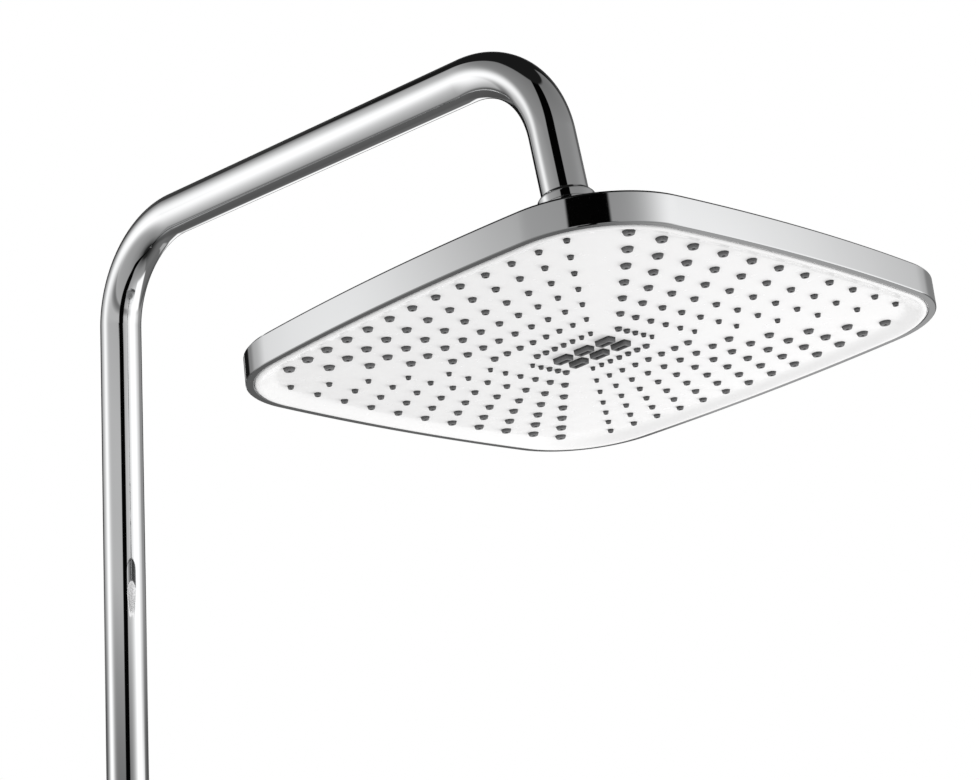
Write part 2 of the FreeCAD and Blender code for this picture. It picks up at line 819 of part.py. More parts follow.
def perforated_disc(label, radius, foot, thickness, hole, hole_circle, count):
    """A disc about the Z axis with a ring of holes and one in the middle."""
    body = turned(label, rectangle(NONE, foot, radius, foot + thickness))
    middle = new_sketch(body, "XY_Plane", "middle_circle", foot - s.cut_overrun)
    draw_circle(middle, NONE, NONE, hole)
    depth = thickness + s.cut_overrun * 2
    pocket(body, middle, "middle_hole", depth, up=True)
    ring = new_sketch(body, "XY_Plane", "hole_circle", foot - s.cut_overrun)
    draw_circle(ring, hole_circle, NONE, hole)
    repeat_round(body, pocket(body, ring, "ring_hole", depth, up=True), "hole_ring", count)
    return body


def make_connector_inserts():
    """Flat seal, strainer and flow restrictor in the collar."""
    seal_radius = s.connector_thread_radius - s.washer_gap
    on_drop(turned("filter_washer", rectangle(s.washer_bore, s.washer_seat_rise, seal_radius, washer_top)))
    on_drop(perforated_disc(
        "filter_screen", s.washer_bore - s.face_gap, s.washer_seat_rise + s.face_gap, s.screen_thickness,
        s.screen_hole, s.screen_hole_circle, SCREEN_HOLES))
    on_drop(perforated_disc(
        "flow_regulator", s.regulator_radius, s.washer_seat_rise - s.regulator_height, s.regulator_height,
        s.regulator_hole, s.regulator_hole_circle, REGULATOR_HOLES))


# Ball joint

def make_ball_liners():
    """Two bearing shells round the ball; both faces of each are parts of spheres about the ball's centre."""
    for label, top, foot in (("upper_ball_liner", s.upper_liner_top, s.upper_liner_foot),
                             ("lower_ball_liner", s.lower_liner_top, s.lower_liner_foot)):
        on_head(turned(label, [
            on_ball(liner_outer, foot), ARC, on_ball(liner_outer, top),
            on_ball(liner_inner, top), ARC, on_ball(liner_inner, foot)]))


def make_retaining_nut():
    bore = s.hub_thread_radius + s.thread_gap
    bevel = s.retaining_bevel
    on_head(turned("ball_retaining_nut", [
        (bore, -s.retaining_foot),
        (s.retaining_radius - s.nut_chamfer, -s.retaining_foot),
        (s.retaining_radius, s.nut_chamfer - s.retaining_foot),
        (s.retaining_radius, s.retaining_top - bevel),
        (s.retaining_radius - bevel, s.retaining_top),
        (s.retaining_mouth, s.retaining_top),
        on_ball(socket_radius, s.mouth_angle),
        ARC,
        (leg(socket_radius, s.hub_seat_gap), s.hub_seat_gap),
        (bore, s.hub_seat_gap)]))


ball_seal_height = -leg(s.ball_radius + s.ball_seal_section + s.ball_seal_clearance, s.ball_seal_ring)


def make_socket_hub():
    seal_floor = ball_seal_height - s.ball_seal_section - s.ball_seal_clearance
    shoulder = -s.retaining_foot - s.face_gap
    groove_half = s.hub_seal_section + s.layer_gap
    groove_roof = hub_seat + s.hub_seal_section * 2 + s.layer_gap
    stem_foot = hub_seat - s.hub_stem_length
    on_head(turned("socket_hub", [
        (s.hub_bore, stem_foot),
        (s.hub_stem_radius, stem_foot),
        (s.hub_stem_radius, hub_seat),
        (s.hub_seal_ring - groove_half, hub_seat),
        (s.hub_seal_ring - groove_half, groove_roof),
        (s.hub_seal_ring + groove_half, groove_roof),
        (s.hub_seal_ring + groove_half, hub_seat),
        (s.hub_flange_radius, hub_seat),
        (s.hub_flange_radius, hub_seat + s.hub_flange_height),
        (s.hub_waist_radius, shoulder),
        (s.hub_thread_radius, shoulder),
        (s.hub_thread_radius, -s.hub_seat_gap),
        (leg(socket_radius, s.hub_seat_gap), -s.hub_seat_gap),
        ARC,
        (s.seal_pocket_radius, -leg(socket_radius, s.seal_pocket_radius)),
        (s.seal_pocket_radius, seal_floor),
        (s.hub_bore, seal_floor)]))


def make_hub_seals():
    on_head(seal_ring("ball_seal", s.ball_seal_ring, ball_seal_height, s.ball_seal_section))
    hub_seal_height = hub_seat + s.hub_seal_section + s.face_gap
    on_head(seal_ring("hub_o_ring", s.hub_seal_ring, hub_seal_height, s.hub_seal_section))


def make_lock_nut():
    """Hexagon nut on the hub's stem, inside the cover."""
    foot = hub_seat - s.cover_wall - s.face_gap - s.lock_nut_height
    prism = doc.addObject("Part::Prism", "lock_nut_prism")
    bind(prism, "Circumradius", s.lock_nut_across / math.sqrt(3))
    bind(prism, "Height", s.lock_nut_height)
    bind(prism, "Placement.Base.z", foot)
    hole = doc.addObject("Part::Cylinder", "lock_nut_hole")
    bind(hole, "Radius", s.hub_stem_radius + s.thread_gap)
    bind(hole, "Height", s.lock_nut_height + s.cut_overrun * 2)
    bind(hole, "Placement.Base.z", foot - s.cut_overrun)
    nut = register(doc.addObject("Part::Cut", "hub_lock_nut"), "hub_lock_nut")
    nut.Base = prism
    nut.Tool = hole
    on_head(nut)


# Head

screw_spots = [(side_screw_reach, NONE), (corner_screw_reach, corner_screw_reach)]


def draw_screw_circles(sketch, radius):
    for across, along in screw_spots:
        draw_circle(sketch, across, along, radius)


def make_rim_frame():
    """Chrome band with a narrow lip turned in under the face."""
    body = new_body("rim_frame")
    band = new_sketch(body, "XY_Plane", "band_outline", rim_foot)
    draw_outline(band, NONE)
    draw_outline(band, s.band_wall)
    pad(body, band, "band", s.band_height)
    lip = new_sketch(body, "XY_Plane", "lip_outline", rim_foot)
    draw_outline(lip, s.band_wall / 2)
    draw_outline(lip, s.lip_width)
    ring = pad(body, lip, "lip", s.lip_height)
    doc.recompute()
    outer = (s.side_bow_radius.number, s.corner_radius.number)
    ends = (rim_foot.number, cover_top.number)
    slack = s.solder_gap.number
    names = []
    for number, edge in enumerate(ring.Shape.Edges, 1):
        level = edge.BoundBox.ZLength < slack
        on_end = any(abs(edge.CenterOfMass.z - end) < slack for end in ends)
        if level and on_end and any(abs(edge.Curve.Radius - radius) < slack for radius in outer):
            names.append(f"Edge{number}")
    bevel = body.newObject("PartDesign::Chamfer", "rim_bevel")
    bevel.Base = (ring, names)
    bevel.Size = s.rim_bevel.number
    bind(bevel, "Size", s.rim_bevel)
    body.Tip = bevel
    on_head(body)


def make_top_cover():
    """Back shell: a flat border, a low dome with the hub's seat, and bosses for the screws."""
    body = new_body("top_cover")
    plate = new_sketch(body, "XY_Plane", "plate_outline", cover_foot)
    draw_outline(plate, inner_inset)
    draw_circle(plate, NONE, NONE, dome_radius - s.dome_lap)
    pad(body, plate, "border", s.cover_wall)
    hole = s.hub_stem_radius + s.fit_gap
    turn(body, "dome", [
        (hole, hub_seat),
        (s.hub_seat_radius, hub_seat),
        ARC,
        (dome_radius, cover_top),
        (dome_radius, cover_foot),
        ARC,
        (s.hub_seat_radius, hub_seat - s.cover_wall),
        (hole, hub_seat - s.cover_wall)])
    boss = new_sketch(body, "XY_Plane", "boss_circles", gasket_foot)
    draw_screw_circles(boss, s.boss_radius)
    bosses = pad(body, boss, "screw_boss", cover_foot - gasket_foot + s.cover_wall / 2)
    repeat_round(body, bosses, "screw_bosses", QUARTERS)
    hole_circles = new_sketch(body, "XY_Plane", "boss_hole_circles", gasket_foot)
    draw_screw_circles(hole_circles, s.screw_radius + s.screw_gap)
    depth = s.screw_engagement + s.layer_gap
    repeat_round(body, pocket(body, hole_circles, "boss_hole", depth, up=True), "boss_holes", QUARTERS)
    on_head(body)


def make_chamber_gasket():
    body = new_body("chamber_gasket")
    ring = new_sketch(body, "XY_Plane", "gasket_outline", gasket_foot)
    draw_outline(ring, s.gasket_inset)
    draw_outline(ring, s.gasket_inset + s.gasket_width)
    pad(body, ring, "gasket", cover_foot - s.face_gap - gasket_foot)
    on_head(body)


def make_clamp_plate():
    """Spoked plate that presses the nozzle mat on the face; water passes its windows."""
    body = new_body("clamp_plate")
    plate = new_sketch(body, "XY_Plane", "clamp_outline", clamp_foot)
    draw_outline(plate, inner_inset)
    draw_circle(plate, NONE, NONE, s.clamp_bore)
    pad(body, plate, "plate", s.clamp_thickness)
    below = clamp_foot - s.cut_overrun
    through = s.clamp_thickness + s.cut_overrun * 2
    window = new_sketch(body, "XY_Plane", "window_outline", below)
    draw_profile(window, [
        (s.window_start, -s.window_start_half_width),
        (window_end, -s.window_end_half_width),
        (window_end, s.window_end_half_width),
        (s.window_start, s.window_start_half_width)])
    repeat_round(body, pocket(body, window, "window", through, up=True), "windows", WINDOW_COUNT)
    shank = new_sketch(body, "XY_Plane", "shank_circles", below)
    draw_screw_circles(shank, s.screw_radius + s.screw_gap)
    repeat_round(body, pocket(body, shank, "shank_hole", through, up=True), "shank_holes", QUARTERS)
    sink = new_sketch(body, "XY_Plane", "sink_circles", below)
    draw_screw_circles(sink, s.screw_head_radius + s.screw_gap)
    depth = s.cut_overrun + s.face_gap + s.screw_head_height
    repeat_round(body, pocket(body, sink, "head_sink", depth, up=True), "head_sinks", QUARTERS)
    on_head(body)


def make_chamber_screws():
    """Screws through the clamp plate into the cover's bosses."""
    screws = []
    head_foot = clamp_foot + s.face_gap
    shank_length = gasket_foot + s.screw_engagement - head_foot
    for quarter in range(QUARTERS):
        cos, sin = quarter_turn(quarter)
        for number, (across, along) in enumerate(screw_spots):
            name = f"screw_{quarter}_{number}"
            head = doc.addObject("Part::Cylinder", name + "_head")
            bind(head, "Radius", s.screw_head_radius)
            bind(head, "Height", s.screw_head_height)
            shank = doc.addObject("Part::Cylinder", name + "_shank")
            bind(shank, "Radius", s.screw_radius)
            bind(shank, "Height", shank_length)
            screw = doc.addObject("Part::Fuse", name)
            screw.Base = head
            screw.Tool = shank
            bind(screw, "Placement.Base.x", across * cos - along * sin)
            bind(screw, "Placement.Base.y", across * sin + along * cos)
            bind(screw, "Placement.Base.z", head_foot)
            screws.append(screw)
    group = register(doc.addObject("Part::Compound", "chamber_screws"), "chamber_screws")
    group.Links = screws
    on_head(group)


def row_reach(row, start, margin):
    """Distance of a row from the centre, with the last row at a margin from the head's edge."""
    first, last = start.number, (s.head_half - margin).number
    return first + (last - first) * row / (NOZZLE_ROWS - 1)


def row_half(row, start, end_margin, shrink):
    """Half length of a row; the rows grow a little less towards the edge."""
    steps = NOZZLE_ROWS - 1
    grown = (s.head_half - end_margin - start).number + shrink.number * steps ** 2
    return start.number + grown * row / steps - shrink.number * row ** 2


def nozzle_spots():
    """Place and width of every nozzle: bowed rows along the four sides, narrowing the same way round."""
    spots = []
    for row in range(NOZZLE_ROWS):
        large = s.nozzle_large.number + s.nozzle_large_step.number * row
        small = s.nozzle_small.number + s.nozzle_small_step.number * row
        bow = s.row_bow.number * row ** 2
        side = row_reach(row, s.side_row_start, s.side_row_margin)
        side_half = row_half(row, s.side_row_half, s.side_row_end_margin, s.side_row_shrink)
        front = row_reach(row, s.front_row_start, s.front_row_margin)
        front_half = row_half(row, s.front_row_half, s.front_row_end_margin, s.front_row_shrink)
        for reach, half, count, turns in ((front, front_half, FRONT_FIRST_COUNT + row, (0, 2)),
                                          (side, side_half, SIDE_FIRST_COUNT + row, (1, 3))):
            for turn_number in turns:
                rotation = FreeCAD.Rotation(Z_AXIS, turn_number * FULL_TURN / QUARTERS)
                for index in range(count):
                    share = index / (count - 1)
                    along = 2 * share - 1
                    spot = FreeCAD.Vector(half * along, bow * along ** 2 - reach, 0)
                    spots.append((rotation.multVec(spot), large + (small - large) * share))
    return spots


def crown_height(spot):
    """Height of the crowned face at a place on it."""
    radius = s.crown_radius.number
    low = rim_foot.number + s.crown_centre_rise.number
    return low + radius - math.sqrt(radius ** 2 - spot.x ** 2 - spot.y ** 2)


def jet_spots():
    """Centres of the rectangular outlets."""
    spots = []
    for column in range(JETS_ACROSS):
        for line in range(JETS_ALONG):
            spots.append((s.jet_pitch_across * (column - (JETS_ACROSS - 1) / 2),
                          s.jet_pitch_along * (line - (JETS_ALONG - 1) / 2)))
    return spots


def draw_jets(sketch, half_width, half_length):
    for across, along in jet_spots():
        draw_profile(sketch, rectangle(across - half_width, along - half_length,
                                       across + half_width, along + half_length))


jet_base_half_width = s.jet_pitch_across * ((JETS_ACROSS - 1) / 2) + s.jet_width / 2 + s.jet_base_margin
jet_base_half_length = s.jet_pitch_along * ((JETS_ALONG - 1) / 2) + s.jet_length / 2 + s.jet_base_margin


def make_jet_insert():
    """Block with the rectangular outlets, level with the nozzle mat."""
    body = new_body("jet_insert")
    base = new_sketch(body, "XY_Plane", "base_outline", mat_foot)
    draw_profile(base, rectangle(-jet_base_half_width, -jet_base_half_length,
                                 jet_base_half_width, jet_base_half_length))
    pad(body, base, "base", s.mat_thickness)
    spout = new_sketch(body, "XY_Plane", "spout_outlines", mat_foot + s.mat_thickness / 2)
    draw_jets(spout, s.jet_width / 2, s.jet_length / 2)
    tip = rim_foot + s.crown_centre_rise - s.jet_height
    pad(body, spout, "spouts", mat_foot + s.mat_thickness / 2 - tip, down=True)
    slot = new_sketch(body, "XY_Plane", "slot_outlines", mat_top + s.cut_overrun)
    draw_jets(slot, s.jet_slot_width / 2, s.jet_slot_length / 2)
    pocket(body, slot, "slots", mat_top + s.cut_overrun * 2 - tip)
    on_head(body)


def box_between(half_width, half_length, centre, foot, top):
    corner = FreeCAD.Vector(centre.x - half_width, centre.y - half_length, foot)
    return Part.makeBox(2 * half_width, 2 * half_length, top - foot, corner)


def make_face_plate():
    """White face: crowned, with a bead round its edge, a flange above the lip and a hole per outlet."""
    overrun = s.cut_overrun.number
    foot = rim_foot.number + s.face_edge_rise.number
    edge_inset = s.lip_width.number + s.fit_gap.number
    plate = outline_block(edge_inset, foot, plate_back.number)
    flange = outline_block(inner_inset.number, flange_foot.number, plate_back.number)
    plate = plate.fuse(flange).removeSplitter()
    bead_inset = edge_inset + s.bead_start.number
    slope = s.bead_run.number / s.bead_rise.number
    dish_rings = [outline_wire(bead_inset - slope * overrun, foot - overrun),
                  outline_wire(bead_inset + s.bead_run.number, foot + s.bead_rise.number)]
    dish = Part.makeLoft(dish_rings, True, True)
    low = rim_foot.number + s.crown_centre_rise.number
    centre = FreeCAD.Vector(0, 0, low + s.crown_radius.number)
    ball = Part.makeSphere(s.crown_radius.number, centre)
    ball.rotate(centre, Y_AXIS, -FULL_TURN / QUARTERS)
    plate = plate.cut(dish.cut(ball))
    top = plate_back.number + overrun
    holes = []
    for spot, width in nozzle_spots():
        low_end = FreeCAD.Vector(spot.x, spot.y, foot - overrun)
        holes.append(Part.makeCylinder(width / 2 + s.nozzle_gap.number, top - low_end.z, low_end))
    for across, along in jet_spots():
        centre = FreeCAD.Vector(across.number, along.number, 0)
        holes.append(box_between(s.jet_width.number / 2 + s.jet_gap.number,
                                 s.jet_length.number / 2 + s.jet_gap.number, centre, foot - overrun, top))
    plate = plate.cut(Part.makeCompound(holes))
    feature = register(doc.addObject("Part::Feature", "face_plate"), "face_plate")
    feature.Shape = plate.Solids[0]
    on_head(feature)


def ring_wire(spot, radius, height):
    circle = Part.Circle(FreeCAD.Vector(spot.x, spot.y, height), Z_AXIS, radius)
    return Part.Wire(circle.toShape())


def rectangle_wire(half_width, half_length, height):
    corners = [(-half_width, -half_length), (half_width, -half_length),
               (half_width, half_length), (-half_width, half_length)]
    points = [FreeCAD.Vector(x, y, height) for x, y in corners]
    return Part.makePolygon(points + points[:1])


def nozzle_skin(spot, width, foot, top):
    """Stem, tapered tip and bore of one nozzle, from the mat's underside to its tip and up through it."""
    root = crown_height(spot)
    tip = root - s.nozzle_height.number
    bore = s.nozzle_bore.number
    outside = width / 2
    profile = [(outside, foot), (outside, root), (outside * NOZZLE_TIP_SHARE, tip), (bore, tip), (bore, top)]
    points = [FreeCAD.Vector(spot.x + radius, spot.y, height) for radius, height in profile]
    return Part.makePolygon(points).revolve(spot, Z_AXIS, FULL_TURN).Faces


def make_nozzle_mat():
    """One silicone sheet with every nozzle, open in the middle for the rectangular outlets."""
    foot, top = mat_foot.number, mat_top.number
    bottom_wires = [outline_wire(s.mat_inset.number, foot)]
    top_wires = [outline_wire(s.mat_inset.number, top)]
    gap = s.jet_gap.number
    opening = [jet_base_half_width.number + gap, jet_base_half_length.number + gap]
    bottom_wires.append(rectangle_wire(*opening, foot))
    top_wires.append(rectangle_wire(*opening, top))
    rise = Z_AXIS * (top - foot)
    faces = [face for wire in bottom_wires for face in wire.extrude(rise).Faces]
    for spot, width in nozzle_spots():
        bottom_wires.append(ring_wire(spot, width / 2, foot))
        top_wires.append(ring_wire(spot, s.nozzle_bore.number, top))
        faces.extend(nozzle_skin(spot, width, foot, top))
    faces.append(Part.Face(bottom_wires, "Part::FaceMakerBullseye"))
    faces.append(Part.Face(top_wires, "Part::FaceMakerBullseye"))
    shell = Part.makeShell(faces)
    shell.sewShape()
    solid = Part.makeSolid(shell)
    if solid.Volume < 0:
        solid.reverse()
    feature = register(doc.addObject("Part::Feature", "nozzle_mat"), "nozzle_mat")
    feature.Shape = solid
    on_head(feature)


MAKERS = [
    make_inlet_body, make_union_nut, make_swivel_rings, make_stop_screw,
    make_riser_spigot, make_spigot_seals, make_gooseneck_pipe, make_drop_nipple, make_ball_connector,
    make_connector_inserts, make_ball_liners, make_retaining_nut, make_socket_hub, make_hub_seals,
    make_lock_nut, make_rim_frame, make_top_cover, make_chamber_gasket, make_clamp_plate, make_chamber_screws,
    make_jet_insert, make_face_plate, make_nozzle_mat,
]


def check_and_write():
    """Stops if anything failed to build, then writes each piece to its own file."""
    doc.recompute()
    for item in doc.Objects:
        if {"Invalid", "Error"} & set(item.State):
            raise ValueError(f"{item.Label}: {item.State}")
    for node in nodes:
        if node.Shape.isNull() or not node.Shape.isValid() or not node.Shape.Solids:
            raise ValueError(f"{node.Label}: no valid solid")
    os.makedirs("parts", exist_ok=True)
    for node in nodes:
        node.Shape.exportStep(os.path.join("parts", node.Label + ".step"))
        print(node.Label, len(node.Shape.Solids), round(node.Shape.Volume))


for make in MAKERS:
    make()
check_and_write()
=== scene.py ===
import json
import math

import bmesh
import bpy
from mathutils import Matrix, Vector
from mathutils.geometry import delaunay_2d_cdt


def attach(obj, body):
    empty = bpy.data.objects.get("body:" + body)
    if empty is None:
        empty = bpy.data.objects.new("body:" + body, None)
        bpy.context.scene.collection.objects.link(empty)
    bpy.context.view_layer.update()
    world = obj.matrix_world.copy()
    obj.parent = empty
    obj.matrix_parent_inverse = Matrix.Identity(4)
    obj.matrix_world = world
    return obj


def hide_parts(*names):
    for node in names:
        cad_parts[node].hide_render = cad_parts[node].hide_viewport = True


# Overhead shower: fine chrome tube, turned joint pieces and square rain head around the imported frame

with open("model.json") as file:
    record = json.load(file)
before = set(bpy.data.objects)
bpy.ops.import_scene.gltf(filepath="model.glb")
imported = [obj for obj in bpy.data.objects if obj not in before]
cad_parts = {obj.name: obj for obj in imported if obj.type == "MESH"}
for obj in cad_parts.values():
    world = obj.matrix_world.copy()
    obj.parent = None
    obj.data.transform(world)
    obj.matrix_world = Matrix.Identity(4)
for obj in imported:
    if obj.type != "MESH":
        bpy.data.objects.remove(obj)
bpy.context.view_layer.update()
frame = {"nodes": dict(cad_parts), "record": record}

# Shapes are drawn in millimetres, in the part's own frame, and become metres when a piece is made
MM = 0.001

# Mesh settings; KEEP_HOLES is the triangulation's kind of output that leaves holes open

SHARP_ANGLE = math.radians(36)
NORMAL_WEIGHT = 80
WELD_GAP = 0.002
ARC_SHARE = 0.48
KEEP_HOLES = 4
MEETING_GAP = 1e-5

# Places: the drop and the head are both drawn about the ball's centre

BALL = Vector((0.0, -338.6, 254.8))
DROP_TILT = 11.0
HEAD_TILT = 5.0
WORLD = Matrix.Identity(4)
ON_DROP = Matrix.Translation(BALL) @ Matrix.Rotation(math.radians(-DROP_TILT), 4, "X")
ON_HEAD = Matrix.Translation(BALL) @ Matrix.Rotation(math.radians(-HEAD_TILT), 4, "X")

# Swan-neck tube: the foot and the riser's corner are heights, the end is a distance from the ball

PIPE_RADIUS = 11.0
PIPE_BORE = 9.9
PIPE_EDGE = 0.35
PIPE_FOOT = 43.95
PIPE_END = 29.5
RISER_CORNER = 355.0
RISER_BEND = 52.0
DROP_BEND = 53.0
ARM_PITCH = 1.6

# Connector under the drop: radii, and heights above the ball's centre

BALL_RADIUS = 11.5
PASSAGE_RADIUS = 3.5
NECK_RADIUS = 6.0
COLLAR_RADIUS = 14.8
COLLAR_FOOT = 17.0
COLLAR_TOP = 28.5
COLLAR_CHAMFER = 0.7
SLEEVE_RADIUS = 13.6
SLEEVE_SHOULDER = 32.3
SLEEVE_MOUTH = 11.9
SLEEVE_TOP = 34.3
PIPE_SOCKET = 11.1
PIPE_SEAT = 29.45
NIPPLE_BORE = 10.5
NIPPLE_FLOOR = 22.4
REGULATOR_BORE = 5.5
REGULATOR_FLOOR = 18.95
NECK_FOOT_ROUND = 0.8
NECK_TOP_ROUND = 0.9
COLLAR_ROUND = 0.4
SLEEVE_FOOT_ROUND = 0.2
SLEEVE_SHOULDER_ROUND = 1.6
SLEEVE_MOUTH_ROUND = 1.2
PIPE_SOCKET_ROUND = 0.2

# Ball socket in the retaining nut and the hub: radii, heights from the ball's centre, angle from straight up

SOCKET_RADIUS = 13.0
SOCKET_SPLIT = 0.3
SOCKET_STEPS = 16
NUT_RADIUS = 18.0
NUT_BORE = 15.2
NUT_FOOT = -9.4
NUT_TOP = 8.2
NUT_FOOT_CHAMFER = 1.2
NUT_TOP_CHAMFER = 2.5
NUT_MOUTH = 11.6
NUT_MOUTH_ANGLE = 54.5
NUT_BORE_ROUND = 0.2
NUT_FOOT_ROUND = 0.4
NUT_SIDE_ROUND = 0.5
NUT_TOP_ROUND = 1.2
NUT_MOUTH_ROUND = 0.3
HUB_SEAT = -21.0
HUB_BORE = 6.2
HUB_STEM = 9.0
HUB_STEM_LENGTH = 8.0
HUB_FLANGE = 20.0
HUB_FLANGE_HEIGHT = 2.5
HUB_SHOULDER = 17.5
HUB_STEP = -9.45
HUB_THREAD = 15.1
HUB_ROUND = 0.3
HUB_STEM_ROUND = 0.5
HUB_FLANGE_ROUND = 0.8
GROOVE_INNER = 12.45
GROOVE_OUTER = 14.55
GROOVE_DEPTH = 2.0
SEAL_RING = 8.9
SEAL_SECTION = 1.15
SEAL_POCKET = 10.4

# Sleeve nut of the foot: radii, and heights above the inlet's seat

UNION_RADIUS = 17.5
UNION_BORE = 14.7
UNION_FOOT = 13.5
UNION_TOP = 41.95
UNION_CHAMFER = 1.2
UNION_MOUTH = 11.25
UNION_LIP_FOOT = 37.95
UNION_BORE_ROUND = 0.2
UNION_END_ROUND = 0.5
UNION_SIDE_ROUND = 0.6
UNION_MOUTH_ROUND = 0.3
GRIP_HEIGHTS = (17.5, 19.0, 36.4, 37.9)
GRIP_DEPTH = 0.3
GRIP_STEP = 0.2
GRIP_EDGE_ROUND = 0.15
GRIP_ROOT_ROUND = 0.1

# Union body of the foot: radii, and heights above the inlet's seat

INLET_SIDES = 144
INLET_END = -14.0
INLET_END_RADIUS = 8.6
THREAD_PITCH = 1.814
THREAD_CREST = 10.478
THREAD_ROOT = 9.33
THREAD_FLANK = 1.5
THREAD_FLAT = 0.25
THREAD_FOOT = -13.9
THREAD_TOP = -0.9
THREAD_LEAD = 1.2
THREAD_FADE = 0.7
THREAD_STEPS = 120
SEAT_RADIUS = 15.5
SEAT_EDGE = 0.3
HEX_FOOT = 2.5
HEX_TOP = 12.5
HEX_FLAT = 13.5
HEX_CORNER_CUT = 0.35
HEX_END_RADIUS = 14.2
HEX_CHAMFER = math.radians(30)
HEX_STEPS = 40
CUP_RADIUS = 14.6
CUP_TOP = 36.0
CUP_EDGE = 0.3
COLLAR_POCKET = 13.25
COLLAR_POCKET_FLOOR = 31.8
JOURNAL_BORE = 9.9
JOURNAL_FLOOR = 9.0
WATERWAY = 7.0
WATERWAY_EDGE = 0.4

# Head outline

HEAD_HALF = 126.2
SIDE_BOW = 938.0
CORNER_RADIUS = 49.0

# Head shells: insets from the outline, and heights from the ball's centre along the head's axis

RIM_FOOT = -41.4
BAND_TOP = -27.6
BAND_WALL = 2.4
RIM_BEVEL = 0.4
TOP_BEVEL = 1.1
LIP_TOP = -39.4
LIP_WIDTH = 4.0
LIP_ROUND = 0.9
LIP_BACK_ROUND = 0.1
BEVEL_ROUND = 0.25
BAND_SIDE_ROUND = 0.35
BAND_BACK_ROUND = 0.15
INNER_INSET = 2.6
COVER_FOOT = -30.0
COVER_WALL = 2.4
COVER_EDGE = 0.6
COVER_EDGE_MIDDLE = 0.18
COVER_HOLE = 9.2
COVER_HOLE_EDGE = 0.3
DOME_RADIUS = 103.0
DOME_STEPS = 40
HUB_SEAT_RADIUS = 22.0
HUB_SEAT_EDGE = 0.4
BORDER_SHARES = (0, 0.25, 0.5, 0.75, 0.97)
BORDER_MIDDLE = 0.5
BOSS_SPOTS = ((110.0, 0.0), (96.0, 96.0))
BOSS_RADIUS = 4.0
BOSS_BORE = 1.6
BOSS_FOOT = -32.05
BOSS_SINK = 0.6
BOSS_SIDES = 32

# White face: a bead along the edge, then a crowned middle

FACE_FOOT = -42.2
FACE_INSET = 4.2
FACE_STOP = 10.4
PLATE_BACK = -36.3
PLATE_EDGE = 0.2
FLANGE_FOOT = -39.3
CROWN_RADIUS = 3500.0
CROWN_LOW = -41.05
BEAD_SLOPE = 3.6 / 7.0
BEAD_WIDTH = 2.0
BEAD_SOFTNESS = 0.25
BEAD_ROLL = 1.1
BEAD_RUNS = [0, 0.04, 0.12, 0.26, 0.45, 0.7, 1.0] + [1.4 + 0.4 * step for step in range(13)]
VALLEY_BLEND = 1.4
SEED_PITCH = 4.0
SEED_GAP = 1.0
SEED_INSETS = (11.4, 12.6, 14.0)
SEED_INSET_GAP = 0.8

# Silicone mat and its nozzles; a row's values are a start, a step per row and a bend per row squared

MAT_FOOT = -36.2
MAT_TOP = -34.7
MAT_INSET = 4.0
NOZZLE_ROWS = 7
NOZZLE_HEIGHT = 1.5
NOZZLE_TIP_SHARE = 0.74
NOZZLE_BORE = 0.6
NOZZLE_ROOT = 0.3
NOZZLE_DISH_WIDTH = 0.2
NOZZLE_DISH_DEPTH = 0.35
NOZZLE_ROOT_ROUND = 0.3
NOZZLE_TIP_ROUND = 0.4
NOZZLE_DISH_ROUND = 0.15
NOZZLE_GAP = 0.15
NOZZLE_SIDES = 24
WIDE_NOZZLE = (3.6, 0.37, 0)
SLIM_NOZZLE = (2.4, 0.14, 0)
ROW_BOW = (0, 0, 0.14)
SIDE_REACH = (18.0, 15.08, 0)
SIDE_HALF = (16.4, 11.86, -0.069)
SIDE_COUNT = 7
FRONT_REACH = (26.4, 13.7, 0)
FRONT_HALF = (10.87, 13.32, -0.106)
FRONT_COUNT = 5

# Block of rectangular outlets; its edges are (inset or outset, height above the tip)

JET_WIDTH = 4.8
JET_LENGTH = 8.7
JET_CORNER = 0.5
JET_COLUMNS = 2
JET_LINES = 3
JET_ACROSS = 10.1
JET_ALONG = 12.9
JET_REACH = (JET_ACROSS * (JET_COLUMNS - 1) / 2, JET_ALONG * (JET_LINES - 1) / 2)
JET_HEIGHT = 2.4
JET_TIP = CROWN_LOW - JET_HEIGHT
JET_EDGE = ((0.12, 0.5), (0.18, 0.22), (0.32, 0.06), (0.55, 0))
JET_SLOT_WIDTH = 2.0
JET_SLOT_LENGTH = 5.9
JET_SLOT_CORNER = 0.3
JET_SLOT_EDGE = ((0.5, 0), (0.35, 0.08), (0.12, 0.5), (0, 0.9))
JET_MARGIN = 3.0
JET_BASE = (JET_REACH[0] + JET_WIDTH / 2 + JET_MARGIN, JET_REACH[1] + JET_LENGTH / 2 + JET_MARGIN)
JET_BASE_CORNER = 1.0
JET_WINDOW_GAP = 0.15


# Mesh helpers: each shape is a list of points and a list of faces

def loft(rings, closed=True):
    """Quads between rings of as many points each; closed also joins the last ring to the first."""
    points = [point for ring in rings for point in ring]
    count = len(rings[0])
    faces = []
    for row in range(len(rings) if closed else len(rings) - 1):
        here = row * count
        above = (row + 1) % len(rings) * count
        for column in range(count):
            side = (column + 1) % count
            faces.append((here + column, here + side, above + side, above + column))
    return points, faces


